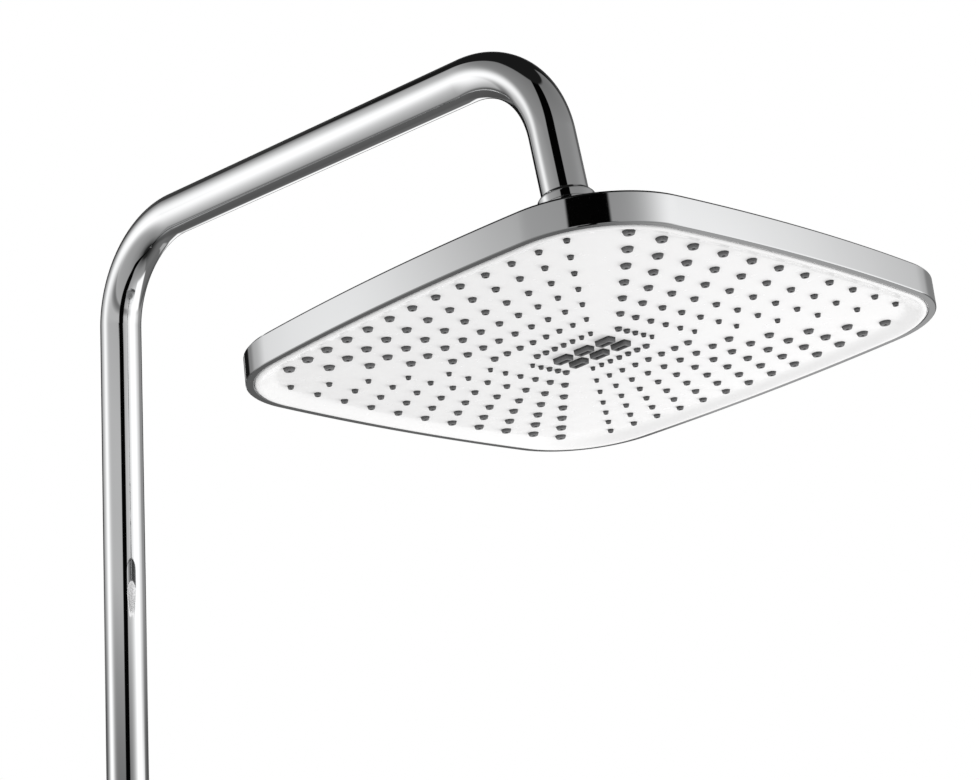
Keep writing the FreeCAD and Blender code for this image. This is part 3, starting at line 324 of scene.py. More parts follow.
def rounded(corners, steps=5):
    """Closed profile through (across, along, radius) corners, with an arc where the radius isn't zero."""
    points = []
    for index, (across, along, radius) in enumerate(corners):
        here = Vector((across, along))
        before = Vector(corners[index - 1][:2]) - here
        after = Vector(corners[(index + 1) % len(corners)][:2]) - here
        if radius == 0:
            points.append((across, along))
            continue
        half = before.angle(after) / 2
        reach = min(radius / math.tan(half), ARC_SHARE * before.length, ARC_SHARE * after.length)
        start = here + before.normalized() * reach
        end = here + after.normalized() * reach
        middle = (before.normalized() + after.normalized()).normalized()
        centre = here + middle * (reach / math.cos(half))
        first = math.atan2(*reversed(start - centre))
        sweep = math.atan2(*reversed(end - centre)) - first
        sweep = (sweep + math.pi) % (2 * math.pi) - math.pi
        size = (start - centre).length
        for step in range(steps + 1):
            angle = first + sweep * step / steps
            points.append((centre.x + size * math.cos(angle), centre.y + size * math.sin(angle)))
    return points


def ball_arc(radius, first, last, steps=40):
    """Corners on a sphere about the origin, by their angle in degrees from straight down."""
    angles = [math.radians(first + (last - first) * step / steps) for step in range(steps + 1)]
    return [(radius * math.sin(angle), -radius * math.cos(angle), 0) for angle in angles]


def full_turn(sides):
    return [2 * math.pi * side / sides for side in range(sides)]


def ring_at(radius, height, turns):
    return [(radius * math.cos(turn), radius * math.sin(turn), height) for turn in turns]


def lathe(profile, sides=128):
    """A closed profile of (radius, height) turned about the Z axis."""
    turns = full_turn(sides)
    return loft([ring_at(radius, height, turns) for radius, height in profile])


def sheet(loops, seeds=()):
    """Triangles of a flat region: the first loop is its edge and the others are holes."""
    points, edges = [], []
    for loop in loops:
        start = len(points)
        points.extend(Vector(point) for point in loop)
        edges.extend((start + index, start + (index + 1) % len(loop)) for index in range(len(loop)))
    points.extend(Vector(point) for point in seeds)
    result = delaunay_2d_cdt(points, edges, [], KEEP_HOLES, MEETING_GAP)
    return [tuple(point) for point in result[0]], [tuple(face) for face in result[2]]


def circle(centre, radius):
    return [(centre[0] + radius * math.cos(turn), centre[1] + radius * math.sin(turn))
            for turn in full_turn(NOZZLE_SIDES)]


def rectangle(centre, half_width, half_length, radius):
    """Rectangle with rounded corners."""
    corners = [(centre[0] + half_width * x, centre[1] + half_length * y, radius)
               for x, y in ((-1, -1), (1, -1), (1, 1), (-1, 1))]
    return rounded(corners, steps=4)


def lifted(loop, height):
    return [(x, y, height) for x, y in loop]


# Materials: noise scales are in grains per metre

NOISE_RANGE = (0.3, 0.7)
# Painted shade: the occlusion's samples, and its reaches in millimetres, that darken the silicone's colour in
# hollows and at roots
PAINTED_SHADE_SAMPLES = 8
PAINTED_SHADE_DEPTHS = (1.5, 1.5, 6.0)
CLOUD_SHARE = 0.985
TOOL_MARK_SHARES = (0.75, 1.25)
SILICONE_SHINE = 0.1


def shader_of(material):
    return material.node_tree.nodes["Principled BSDF"]


def new_material(name, colour, metallic, roughness):
    material = bpy.data.materials.new(name)
    material.use_nodes = True
    shader = shader_of(material)
    shader.inputs["Base Color"].default_value = (*colour, 1)
    shader.inputs["Metallic"].default_value = metallic
    shader.inputs["Roughness"].default_value = roughness
    return material


def noise(material, scale, detail):
    """Noise in the piece's own coordinates."""
    tree = material.node_tree
    place = tree.nodes.new("ShaderNodeTexCoord")
    grain = tree.nodes.new("ShaderNodeTexNoise")
    grain.inputs["Scale"].default_value = scale
    grain.inputs["Detail"].default_value = detail
    tree.links.new(place.outputs["Object"], grain.inputs["Vector"])
    return grain.outputs["Fac"]


def uneven_gloss(material, low, high, scale, detail):
    """Spreads the roughness from low to high by a noise's middle range."""
    tree = material.node_tree
    step = tree.nodes.new("ShaderNodeMapRange")
    step.inputs["From Min"].default_value, step.inputs["From Max"].default_value = NOISE_RANGE
    step.inputs["To Min"].default_value = low
    step.inputs["To Max"].default_value = high
    tree.links.new(noise(material, scale, detail), step.inputs["Value"])
    tree.links.new(step.outputs["Result"], shader_of(material).inputs["Roughness"])


def tint(material, dark, light, scale, detail):
    """Blends two close colours by a noise's middle range."""
    tree = material.node_tree
    ramp = tree.nodes.new("ShaderNodeValToRGB")
    for stop, place, colour in zip(ramp.color_ramp.elements, NOISE_RANGE, (dark, light)):
        stop.position = place
        stop.color = (*colour, 1)
    tree.links.new(noise(material, scale, detail), ramp.inputs["Fac"])
    tree.links.new(ramp.outputs["Color"], shader_of(material).inputs["Base Color"])


def relief(material, height, scale, detail):
    """Fine surface relief; the height is in millimetres."""
    tree = material.node_tree
    bump = tree.nodes.new("ShaderNodeBump")
    bump.inputs["Distance"].default_value = height * MM
    tree.links.new(noise(material, scale, detail), bump.inputs["Height"])
    tree.links.new(bump.outputs["Normal"], shader_of(material).inputs["Normal"])


def painted_crease_shade(material, depth):
    """Paints shade into the colour in hollows and at roots, where ambient occlusion finds them; the depth is
    in millimetres.
    """
    tree = material.node_tree
    painted_shade = tree.nodes.new("ShaderNodeAmbientOcclusion")
    painted_shade.samples = PAINTED_SHADE_SAMPLES
    painted_shade.inputs["Distance"].default_value = depth * MM
    colour = shader_of(material).inputs["Base Color"]
    tree.links.new(colour.links[0].from_socket, painted_shade.inputs["Color"])
    tree.links.new(painted_shade.outputs["Color"], colour)


def plated(name, colour, polish, haze, wave):
    """Bright plating: nearly a mirror, with faint cloudy haze and a very slight wave under the shine."""
    material = new_material(name, colour, metallic=1.0, roughness=polish)
    clouded = [CLOUD_SHARE * part for part in colour]
    uneven_gloss(material, polish, haze, scale=60.0, detail=4.0)
    tint(material, clouded, colour, scale=35.0, detail=3.0)
    relief(material, wave, scale=130.0, detail=1.0)
    return material


def moulded(name, dark, light, smooth, rough, grain, height):
    """Moulded plastic or rubber: soft colour clouds, uneven gloss and a fine skin."""
    material = new_material(name, light, metallic=0.0, roughness=rough)
    tint(material, dark, light, scale=45.0, detail=4.0)
    uneven_gloss(material, smooth, rough, scale=180.0, detail=4.0)
    relief(material, height, scale=grain, detail=2.0)
    return material


def turned_metal(name, dark, light, rough):
    """Bare turned metal with fine uneven tool marks."""
    material = new_material(name, light, metallic=1.0, roughness=rough)
    tint(material, dark, light, scale=90.0, detail=5.0)
    low, high = (share * rough for share in TOOL_MARK_SHARES)
    uneven_gloss(material, low, high, scale=420.0, detail=5.0)
    relief(material, height=0.01, scale=900.0, detail=2.0)
    return material


def soft_silicone():
    """Matt grey silicone with shade painted into its colour twice at the outlets' roots and slots, and once
    more widely.
    """
    material = moulded("grey_silicone", dark=(0.17, 0.17, 0.172), light=(0.2, 0.2, 0.203),
                       smooth=0.3, rough=0.42, grain=2500.0, height=0.004)
    shader_of(material).inputs["Specular IOR Level"].default_value = SILICONE_SHINE
    for depth in PAINTED_SHADE_DEPTHS:
        painted_crease_shade(material, depth)
    return material


SLOT_MATERIALS = {
    "chrome": plated("chrome_plating", colour=(0.93, 0.935, 0.94), polish=0.02, haze=0.045, wave=0.0015),
    "plated_plastic": plated("plated_plastic", colour=(0.76, 0.765, 0.77),
                             polish=0.03, haze=0.06, wave=0.003),
    "white_plastic": moulded("white_face", dark=(0.93, 0.925, 0.925), light=(0.94, 0.936, 0.936),
                             smooth=0.2, rough=0.28, grain=1500.0, height=0.0006),
    "silicone": soft_silicone(),
    "black_rubber": moulded("black_rubber", dark=(0.012, 0.012, 0.012), light=(0.03, 0.03, 0.03),
                            smooth=0.5, rough=0.75, grain=2200.0, height=0.02),
    "bearing_plastic": moulded("bearing_acetal", dark=(0.70, 0.68, 0.62), light=(0.78, 0.76, 0.71),
                               smooth=0.35, rough=0.5, grain=1200.0, height=0.006),
    "inner_plastic": moulded("inner_abs", dark=(0.24, 0.245, 0.25), light=(0.30, 0.305, 0.31),
                             smooth=0.4, rough=0.58, grain=1000.0, height=0.012),
    "brass": turned_metal("turned_brass", dark=(0.66, 0.47, 0.20), light=(0.78, 0.60, 0.30), rough=0.26),
    "steel": turned_metal("stainless_steel", dark=(0.46, 0.46, 0.47), light=(0.58, 0.58, 0.59), rough=0.3),
}

# Every CAD node takes the material of its slot
for subpart in frame["record"]["subparts"]:
    node = frame["nodes"][subpart["node"]]
    node.data.materials.clear()
    node.data.materials.append(SLOT_MATERIALS[subpart["material_slot"]])


def piece(name, body, slot, hides, shapes, place):
    """Makes one object from shapes, hides the nodes that it stands for and lets it ride on a body."""
    points, faces = [], []
    for shape_points, shape_faces in shapes:
        start = len(points)
        points.extend(place @ Vector(point) * MM for point in shape_points)
        faces.extend(tuple(start + index for index in face) for face in shape_faces)
    mesh = bpy.data.meshes.new(name)
    mesh.from_pydata(points, [], faces)
    work = bmesh.new()
    work.from_mesh(mesh)
    bmesh.ops.remove_doubles(work, verts=work.verts, dist=WELD_GAP * MM)
    bmesh.ops.recalc_face_normals(work, faces=work.faces)
    work.to_mesh(mesh)
    work.free()
    mesh.shade_smooth()
    mesh.set_sharp_from_angle(angle=SHARP_ANGLE)
    mesh.materials.append(SLOT_MATERIALS[slot])
    thing = bpy.data.objects.new(name, mesh)
    bpy.context.scene.collection.objects.link(thing)
    weights = thing.modifiers.new("even_normals", "WEIGHTED_NORMAL")
    weights.mode = "FACE_AREA"
    weights.weight = NORMAL_WEIGHT
    weights.keep_sharp = True
    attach(thing, body)
    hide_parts(*hides)


# Swan-neck tube

def bend(corner, arriving, leaving, radius, steps=72):
    """Stations of the arc that rounds a corner of the axis: place and direction, both as (y, z)."""
    half = arriving.angle(leaving) / 2
    start = corner - arriving * (radius * math.tan(half))
    inward = (leaving - arriving).normalized()
    centre = corner + inward * (radius / math.cos(half))
    spoke = start - centre
    turning = 1 if arriving.x * leaving.y - arriving.y * leaving.x > 0 else -1
    stations = []
    for step in range(steps + 1):
        turn = Matrix.Rotation(turning * 2 * half * step / steps, 2)
        stations.append((centre + turn @ spoke, turn @ arriving))
    return stations


def straight(start, end, steps):
    """Stations between two places on the axis, without the places themselves."""
    direction = (end - start).normalized()
    return [(start.lerp(end, step / steps), direction) for step in range(1, steps)]


def tube_stations():
    """The tube's axis from its foot up the riser, along the arm and down the drop."""
    pitch = math.radians(ARM_PITCH)
    lean = math.radians(DROP_TILT)
    up = Vector((0, 1))
    forward = Vector((-math.cos(pitch), math.sin(pitch)))
    down = Vector((-math.sin(lean), -math.cos(lean)))
    ball = Vector((BALL.y, BALL.z))
    first = Vector((0, RISER_CORNER))
    gap = ball - first
    reach = (gap.x * down.y - gap.y * down.x) / (forward.x * down.y - forward.y * down.x)
    second = first + forward * reach
    foot = Vector((0, PIPE_FOOT))
    end = ball - down * PIPE_END
    rise = bend(first, up, forward, RISER_BEND)
    fall = bend(second, forward, down, DROP_BEND)
    riser = straight(foot, rise[0][0], steps=12)
    arm = straight(rise[-1][0], fall[0][0], steps=10)
    drop = straight(fall[-1][0], end, steps=4)
    return [(foot, up)] + riser + rise + arm + fall + drop + [(end, down)]


def tube_ring(station, radius, shift=0.0, sides=160):
    place, direction = station
    place = place + direction * shift
    across = Vector((direction.y, -direction.x))
    ring = []
    for turn in full_turn(sides):
        spot = place + across * (radius * math.sin(turn))
        ring.append((radius * math.cos(turn), spot.x, spot.y))
    return ring


def make_gooseneck():
    """Riser, arm and drop in one bent tube with broken edges."""
    stations = tube_stations()
    foot, end = stations[0], stations[-1]
    mouth = PIPE_RADIUS - PIPE_EDGE
    rings = [tube_ring(foot, mouth), tube_ring(foot, PIPE_RADIUS, PIPE_EDGE)]
    rings += [tube_ring(station, PIPE_RADIUS) for station in stations[1:-1]]
    rings += [tube_ring(end, PIPE_RADIUS, -PIPE_EDGE), tube_ring(end, mouth)]
    rings += [tube_ring(station, PIPE_BORE) for station in reversed(stations)]
    piece("gooseneck_tube", "gooseneck", "chrome", ["gooseneck_pipe"], [loft(rings)], WORLD)


# Turned joint pieces: each profile is a list of (radius, height, rounding) corners

def make_connector():
    """Collar, neck and ball under the drop."""
    passage = math.degrees(math.asin(PASSAGE_RADIUS / BALL_RADIUS))
    neck = 180 - math.degrees(math.asin(NECK_RADIUS / BALL_RADIUS))
    neck_foot = math.sqrt(BALL_RADIUS ** 2 - NECK_RADIUS ** 2)
    edge = COLLAR_RADIUS - COLLAR_CHAMFER
    profile = ball_arc(BALL_RADIUS, passage, neck)[:-1]
    profile += [
        (NECK_RADIUS, neck_foot, NECK_FOOT_ROUND), (NECK_RADIUS, COLLAR_FOOT, NECK_TOP_ROUND),
        (edge, COLLAR_FOOT, COLLAR_ROUND), (COLLAR_RADIUS, COLLAR_FOOT + COLLAR_CHAMFER, COLLAR_ROUND),
        (COLLAR_RADIUS, COLLAR_TOP - COLLAR_CHAMFER, COLLAR_ROUND), (edge, COLLAR_TOP, COLLAR_ROUND),
        (SLEEVE_RADIUS, COLLAR_TOP, SLEEVE_FOOT_ROUND),
        (SLEEVE_RADIUS, SLEEVE_SHOULDER, SLEEVE_SHOULDER_ROUND),
        (SLEEVE_MOUTH, SLEEVE_TOP, SLEEVE_MOUTH_ROUND),
        (PIPE_SOCKET, SLEEVE_TOP, PIPE_SOCKET_ROUND), (PIPE_SOCKET, PIPE_SEAT, 0),
        (NIPPLE_BORE, PIPE_SEAT, 0), (NIPPLE_BORE, NIPPLE_FLOOR, 0), (REGULATOR_BORE, NIPPLE_FLOOR, 0),
        (REGULATOR_BORE, REGULATOR_FLOOR, 0), (PASSAGE_RADIUS, REGULATOR_FLOOR, 0)]
    piece("drop_connector", "gooseneck", "chrome", ["ball_connector"], [lathe(rounded(profile))], ON_DROP)


def make_retaining_nut():
    """Nut with the upper part of the ball's socket and the mouth that the neck comes out of."""
    mouth = 180 - NUT_MOUTH_ANGLE
    seat = math.degrees(math.acos(-SOCKET_SPLIT / SOCKET_RADIUS))
    profile = [
        (NUT_BORE, NUT_FOOT, NUT_BORE_ROUND), (NUT_RADIUS - NUT_FOOT_CHAMFER, NUT_FOOT, NUT_FOOT_ROUND),
        (NUT_RADIUS, NUT_FOOT + NUT_FOOT_CHAMFER, NUT_SIDE_ROUND),
        (NUT_RADIUS, NUT_TOP - NUT_TOP_CHAMFER, NUT_TOP_ROUND),
        (NUT_RADIUS - NUT_TOP_CHAMFER, NUT_TOP, NUT_TOP_ROUND), (NUT_MOUTH, NUT_TOP, NUT_MOUTH_ROUND)]
    profile += ball_arc(SOCKET_RADIUS, mouth, seat, SOCKET_STEPS)
    profile += [(NUT_BORE, SOCKET_SPLIT, 0)]
    piece("socket_nut", "head", "chrome", ["ball_retaining_nut"], [lathe(rounded(profile))], ON_HEAD)


def make_hub():
    """Hub with the lower part of the ball's socket, the seal's pocket and the stem through the cover."""
    seat = math.degrees(math.acos(SOCKET_SPLIT / SOCKET_RADIUS))
    pocket = math.degrees(math.asin(SEAL_POCKET / SOCKET_RADIUS))
    seal_floor = -math.sqrt((BALL_RADIUS + SEAL_SECTION) ** 2 - SEAL_RING ** 2) - SEAL_SECTION
    stem_foot = HUB_SEAT - HUB_STEM_LENGTH
    groove_roof = HUB_SEAT + GROOVE_DEPTH
    flange_top = HUB_SEAT + HUB_FLANGE_HEIGHT
    profile = [
        (HUB_BORE, stem_foot, HUB_ROUND), (HUB_STEM, stem_foot, HUB_STEM_ROUND), (HUB_STEM, HUB_SEAT, 0),
        (GROOVE_INNER, HUB_SEAT, 0), (GROOVE_INNER, groove_roof, 0), (GROOVE_OUTER, groove_roof, 0),
        (GROOVE_OUTER, HUB_SEAT, 0), (HUB_FLANGE, HUB_SEAT, HUB_ROUND),
        (HUB_FLANGE, flange_top, HUB_FLANGE_ROUND), (HUB_SHOULDER, HUB_STEP, HUB_ROUND),
        (HUB_THREAD, HUB_STEP, 0), (HUB_THREAD, -SOCKET_SPLIT, HUB_ROUND)]
    profile += ball_arc(SOCKET_RADIUS, seat, pocket, SOCKET_STEPS)
    profile += [(SEAL_POCKET, seal_floor, 0), (HUB_BORE, seal_floor, HUB_ROUND)]
    piece("ball_socket_hub", "head", "chrome", ["socket_hub"], [lathe(rounded(profile))], ON_HEAD)


def make_union_nut():
    """Sleeve nut with two fine grip grooves near each end."""
    edge = UNION_RADIUS - UNION_CHAMFER
    groove = UNION_RADIUS - GRIP_DEPTH
    profile = [(UNION_BORE, UNION_FOOT, UNION_BORE_ROUND), (edge, UNION_FOOT, UNION_END_ROUND),
               (UNION_RADIUS, UNION_FOOT + UNION_CHAMFER, UNION_SIDE_ROUND)]
    for height in GRIP_HEIGHTS:
        profile += [(UNION_RADIUS, height, GRIP_EDGE_ROUND), (groove, height + GRIP_STEP, GRIP_ROOT_ROUND),
                    (groove, height + 2 * GRIP_STEP, GRIP_ROOT_ROUND),
                    (UNION_RADIUS, height + 3 * GRIP_STEP, GRIP_EDGE_ROUND)]
    profile += [(UNION_RADIUS, UNION_TOP - UNION_CHAMFER, UNION_SIDE_ROUND),
                (edge, UNION_TOP, UNION_END_ROUND),
                (UNION_MOUTH, UNION_TOP, UNION_MOUTH_ROUND), (UNION_MOUTH, UNION_LIP_FOOT, 0),
                (UNION_BORE, UNION_LIP_FOOT, 0)]
    piece("sleeve_nut", "inlet_union", "chrome", ["union_nut"], [lathe(rounded(profile))], WORLD)


def thread_radius(height, turn):
    """Radius of the inlet's thread, which grows from the end and fades below the seat."""
    phase = (height / THREAD_PITCH - turn / (2 * math.pi)) % 1
    ridge = abs(2 * phase - 1)
    swell = min(1.0, max(0.0, THREAD_FLANK * ridge - THREAD_FLAT))
    lead = max(0.0, (height - THREAD_FOOT) / THREAD_LEAD)
    fade = max(0.0, (THREAD_TOP - height) / THREAD_FADE)
    return THREAD_ROOT + (THREAD_CREST - THREAD_ROOT) * swell * min(1.0, lead, fade)


def hexagon_radius(height, turn):
    """Radius of the spanner hexagon, with blunt corners and chamfered ends."""
    sixth = math.pi / 3
    across = (turn + sixth) % sixth - sixth / 2
    side = HEX_FLAT / math.cos(sixth / 2 - abs(across))
    corner = HEX_FLAT / math.cos(sixth / 2) - HEX_CORNER_CUT
    end = min(height - HEX_FOOT, HEX_TOP - height)
    return min(side, corner, HEX_END_RADIUS + end / math.tan(HEX_CHAMFER))


def make_inlet():
    """Union body: inlet thread, sealing seat, spanner hexagon and the cup inside the sleeve nut."""
    turns = full_turn(INLET_SIDES)

    def plain(*corners):
        return [ring_at(radius, height, turns) for radius, height in corners]

    def shaped(rule, first, last, steps):
        rings = []
        for step in range(steps + 1):
            height = first + (last - first) * step / steps
            rings.append([(rule(height, turn) * math.cos(turn), rule(height, turn) * math.sin(turn), height)
                          for turn in turns])
        return rings

    rings = plain((INLET_END_RADIUS, INLET_END))
    rings += shaped(thread_radius, THREAD_FOOT, THREAD_TOP, THREAD_STEPS)
    rings += plain((THREAD_ROOT, 0), (SEAT_RADIUS - SEAT_EDGE, 0), (SEAT_RADIUS, SEAT_EDGE),
                   (SEAT_RADIUS, HEX_FOOT - SEAT_EDGE), (SEAT_RADIUS - SEAT_EDGE, HEX_FOOT))
    rings += shaped(hexagon_radius, HEX_FOOT, HEX_TOP, HEX_STEPS)
    rings += plain((CUP_RADIUS, HEX_TOP), (CUP_RADIUS, CUP_TOP - CUP_EDGE), (CUP_RADIUS - CUP_EDGE, CUP_TOP),
                   (COLLAR_POCKET, CUP_TOP), (COLLAR_POCKET, COLLAR_POCKET_FLOOR),
                   (JOURNAL_BORE, COLLAR_POCKET_FLOOR), (JOURNAL_BORE, JOURNAL_FLOOR),
                   (WATERWAY, JOURNAL_FLOOR), (WATERWAY, INLET_END + WATERWAY_EDGE),
                   (WATERWAY + WATERWAY_EDGE, INLET_END))
    piece("union_body", "inlet_union", "chrome", ["inlet_body"], [loft(rings)], WORLD)


# Head outline: four bowed sides and four rounded corners, inset by any amount

SETBACK = SIDE_BOW - HEAD_HALF
SPAN = SIDE_BOW - CORNER_RADIUS
CORNER = (math.sqrt(2 * SPAN ** 2 - SETBACK ** 2) - SETBACK) / 2
LEAN = math.atan2(CORNER, CORNER + SETBACK)


def outline(inset, side_steps=48, corner_steps=36):
    points = []
    for quarter in range(4):
        angle = quarter * math.pi / 2
        cos, sin = math.cos(angle), math.sin(angle)
        for step in range(side_steps):
            turn = angle - LEAN + 2 * LEAN * step / side_steps
            points.append((-SETBACK * cos + (SIDE_BOW - inset) * math.cos(turn),
                           -SETBACK * sin + (SIDE_BOW - inset) * math.sin(turn)))
        for step in range(corner_steps):
            turn = angle + LEAN + (math.pi / 2 - 2 * LEAN) * step / corner_steps
            points.append((CORNER * (cos - sin) + (CORNER_RADIUS - inset) * math.cos(turn),
                           CORNER * (sin + cos) + (CORNER_RADIUS - inset) * math.sin(turn)))
    return points


def inset_at(x, y):
    """Distance of a place inside the head's outline from that outline."""
    x, y = abs(x), abs(y)
    turn = math.atan2(y - CORNER, x - CORNER)
    if x > CORNER and y > CORNER and LEAN < turn < math.pi / 2 - LEAN:
        return CORNER_RADIUS - math.hypot(x - CORNER, y - CORNER)
    return SIDE_BOW - max(math.hypot(x + SETBACK, y), math.hypot(x, y + SETBACK))


def crown(x, y):
    """Height of the face's crowned middle, which hangs lowest at the centre."""
    return CROWN_LOW + CROWN_RADIUS - math.sqrt(CROWN_RADIUS ** 2 - x * x - y * y)


def soft_least(first, second, blend):
    """The lower of two heights, rounded off where they meet."""
    share = max(0.0, blend - abs(first - second)) / blend
    return min(first, second) - share * share * blend / 4


def face_height(x, y, inset):
    """Underside of the white face: a rolled bead along the edge, a soft valley and the crowned middle."""
    run = inset - FACE_INSET
    slope = BEAD_SLOPE * (run - BEAD_WIDTH)
    bead = FACE_FOOT + (slope + math.sqrt(slope * slope + BEAD_SOFTNESS)) / 2
    if run < BEAD_ROLL:
        bead += BEAD_ROLL - math.sqrt(BEAD_ROLL * BEAD_ROLL - (BEAD_ROLL - run) ** 2)
    return soft_least(bead, crown(x, y), VALLEY_BLEND)


# Outlets

def at_row(values, row):
    start, step, curve = values
    return start + step * row + curve * row ** 2


def nozzle_spots():
    """Place and width of every nozzle: bowed rows along the four sides, narrowing the same way round."""
    spots = []
    for row in range(NOZZLE_ROWS):
        wide, slim, bow = at_row(WIDE_NOZZLE, row), at_row(SLIM_NOZZLE, row), at_row(ROW_BOW, row)
        for reach, half, count, quarters in ((FRONT_REACH, FRONT_HALF, FRONT_COUNT + row, (0, 2)),
                                             (SIDE_REACH, SIDE_HALF, SIDE_COUNT + row, (1, 3))):
            for quarter in quarters:
                turn = Matrix.Rotation(quarter * math.pi / 2, 2)
                for index in range(count):
                    share = index / (count - 1)
                    along = 2 * share - 1
                    spot = Vector((at_row(half, row) * along, bow * along ** 2 - at_row(reach, row)))
                    spots.append((tuple(turn @ spot), wide + (slim - wide) * share))
    return spots


NOZZLES = nozzle_spots()
JETS = [(JET_ACROSS * column - JET_REACH[0], JET_ALONG * line - JET_REACH[1])
        for column in range(JET_COLUMNS) for line in range(JET_LINES)]


def jet_ring(spot, outset=0):
    return rectangle(spot, JET_WIDTH / 2 + outset, JET_LENGTH / 2 + outset, JET_CORNER)


def jet_slot(spot, outset=0):
    return rectangle(spot, JET_SLOT_WIDTH / 2 + outset, JET_SLOT_LENGTH / 2 + outset, JET_SLOT_CORNER)


def clear_of_nozzles(spot, gap):
    return min(math.dist(spot, other) - width / 2 for other, width in NOZZLES) > gap


def face_seeds():
    """Places in the face's sheet that keep its triangles even: a grid, and rows inside the bead."""
    seeds = []
    reach = int(HEAD_HALF / SEED_PITCH)
    for column in range(-reach, reach + 1):
        for line in range(-reach, reach + 1):
            x, y = column * SEED_PITCH, line * SEED_PITCH
            off_jets = abs(x) > JET_BASE[0] or abs(y) > JET_BASE[1]
            if inset_at(x, y) > FACE_STOP + SEED_GAP and off_jets and clear_of_nozzles((x, y), SEED_GAP):
                seeds.append((x, y))
    for inset in SEED_INSETS:
        seeds += [spot for spot in outline(inset) if clear_of_nozzles(spot, SEED_INSET_GAP)]
    return seeds


def make_face():
    """White spray face with a hole for every outlet."""
    def underside(loop):
        return [(x, y, face_height(x, y, inset_at(x, y))) for x, y in loop]

    edge = outline(FACE_STOP)
    holes = [circle(spot, width / 2 + NOZZLE_GAP) for spot, width in NOZZLES]
    holes += [jet_ring(spot, NOZZLE_GAP) for spot in JETS]
    flat, triangles = sheet([edge] + holes, face_seeds())
    rings = [lifted(edge, PLATE_BACK), lifted(outline(INNER_INSET + PLATE_EDGE), PLATE_BACK),
             lifted(outline(INNER_INSET), PLATE_BACK - PLATE_EDGE), lifted(outline(INNER_INSET), FLANGE_FOOT),
             lifted(outline(FACE_INSET), FLANGE_FOOT)]
    for run in BEAD_RUNS + [FACE_STOP - FACE_INSET]:
        inset = FACE_INSET + run
        rings.append([(x, y, face_height(x, y, inset)) for x, y in outline(inset)])
    shapes = [(underside(flat), triangles), (lifted(flat, PLATE_BACK), triangles), loft(rings, closed=False)]
    shapes += [loft([underside(hole), lifted(hole, PLATE_BACK)], closed=False) for hole in holes]
    piece("spray_face", "head", "white_plastic", ["face_plate"], shapes, ON_HEAD)


def make_nozzles():
    """Silicone mat with a rounded, tapered and bored stud through every round hole."""
    window = rectangle((0, 0), JET_BASE[0] + JET_WINDOW_GAP, JET_BASE[1] + JET_WINDOW_GAP, JET_BASE_CORNER)
    edge = outline(MAT_INSET)
    low, low_faces = sheet([edge, window] + [circle(spot, width / 2) for spot, width in NOZZLES])
    high, high_faces = sheet([edge, window] + [circle(spot, NOZZLE_BORE) for spot, _ in NOZZLES])
    shapes = [(lifted(low, MAT_FOOT), low_faces), (lifted(high, MAT_TOP), high_faces)]
    shapes += [loft([lifted(loop, MAT_FOOT), lifted(loop, MAT_TOP)], closed=False) for loop in (edge, window)]
    for spot, width in NOZZLES:
        root = crown(*spot)
        tip = root - NOZZLE_HEIGHT
        profile = rounded([
            (width / 2, MAT_FOOT, 0), (width / 2, root + NOZZLE_ROOT, NOZZLE_ROOT_ROUND),
            (width / 2 * NOZZLE_TIP_SHARE, tip, NOZZLE_TIP_ROUND),
            (NOZZLE_BORE + NOZZLE_DISH_WIDTH, tip, NOZZLE_DISH_ROUND),
            (NOZZLE_BORE, tip + NOZZLE_DISH_DEPTH, NOZZLE_DISH_ROUND), (NOZZLE_BORE, MAT_TOP, 0)], steps=3)
        rings = [lifted(circle(spot, radius), height) for radius, height in profile]
        shapes.append(loft(rings, closed=False))
    piece("nozzle_studs", "head", "silicone", ["nozzle_mat"], shapes, ON_HEAD)


def make_jets():
    """Block of six rectangular spouts with a slot in each end."""
    base = rectangle((0, 0), *JET_BASE, JET_BASE_CORNER)
    low, low_faces = sheet([base] + [jet_ring(spot) for spot in JETS])
    high, high_faces = sheet([base] + [jet_slot(spot) for spot in JETS])
    shapes = [(lifted(low, MAT_FOOT), low_faces), (lifted(high, MAT_TOP), high_faces),
              loft([lifted(base, MAT_FOOT), lifted(base, MAT_TOP)], closed=False)]
    for spot in JETS:
        rings = [lifted(jet_ring(spot), MAT_FOOT), lifted(jet_ring(spot), CROWN_LOW)]
        rings += [lifted(jet_ring(spot, -inset), JET_TIP + height) for inset, height in JET_EDGE]
        rings += [lifted(jet_slot(spot, outset), JET_TIP + height) for outset, height in JET_SLOT_EDGE]
        rings += [lifted(jet_slot(spot), MAT_TOP)]
        shapes.append(loft(rings, closed=False))
    piece("jet_block", "head", "silicone", ["jet_insert"], shapes, ON_HEAD)


# Head shells

def make_rim():
    """Chrome band with rounded bevels and a narrow lip turned in under the face."""
    profile = rounded([
        (RIM_BEVEL, RIM_FOOT, BEVEL_ROUND), (0, RIM_FOOT + RIM_BEVEL, BEVEL_ROUND),
        (0, BAND_TOP - TOP_BEVEL, BAND_SIDE_ROUND), (TOP_BEVEL, BAND_TOP, BEVEL_ROUND),
        (BAND_WALL, BAND_TOP, BAND_BACK_ROUND), (BAND_WALL, LIP_TOP, 0),
        (LIP_WIDTH, LIP_TOP, LIP_BACK_ROUND), (LIP_WIDTH, RIM_FOOT, LIP_ROUND)])
    rings = [lifted(outline(inset), height) for inset, height in profile]
    piece("rim_band", "head", "plated_plastic", ["rim_frame"], [loft(rings)], ON_HEAD)


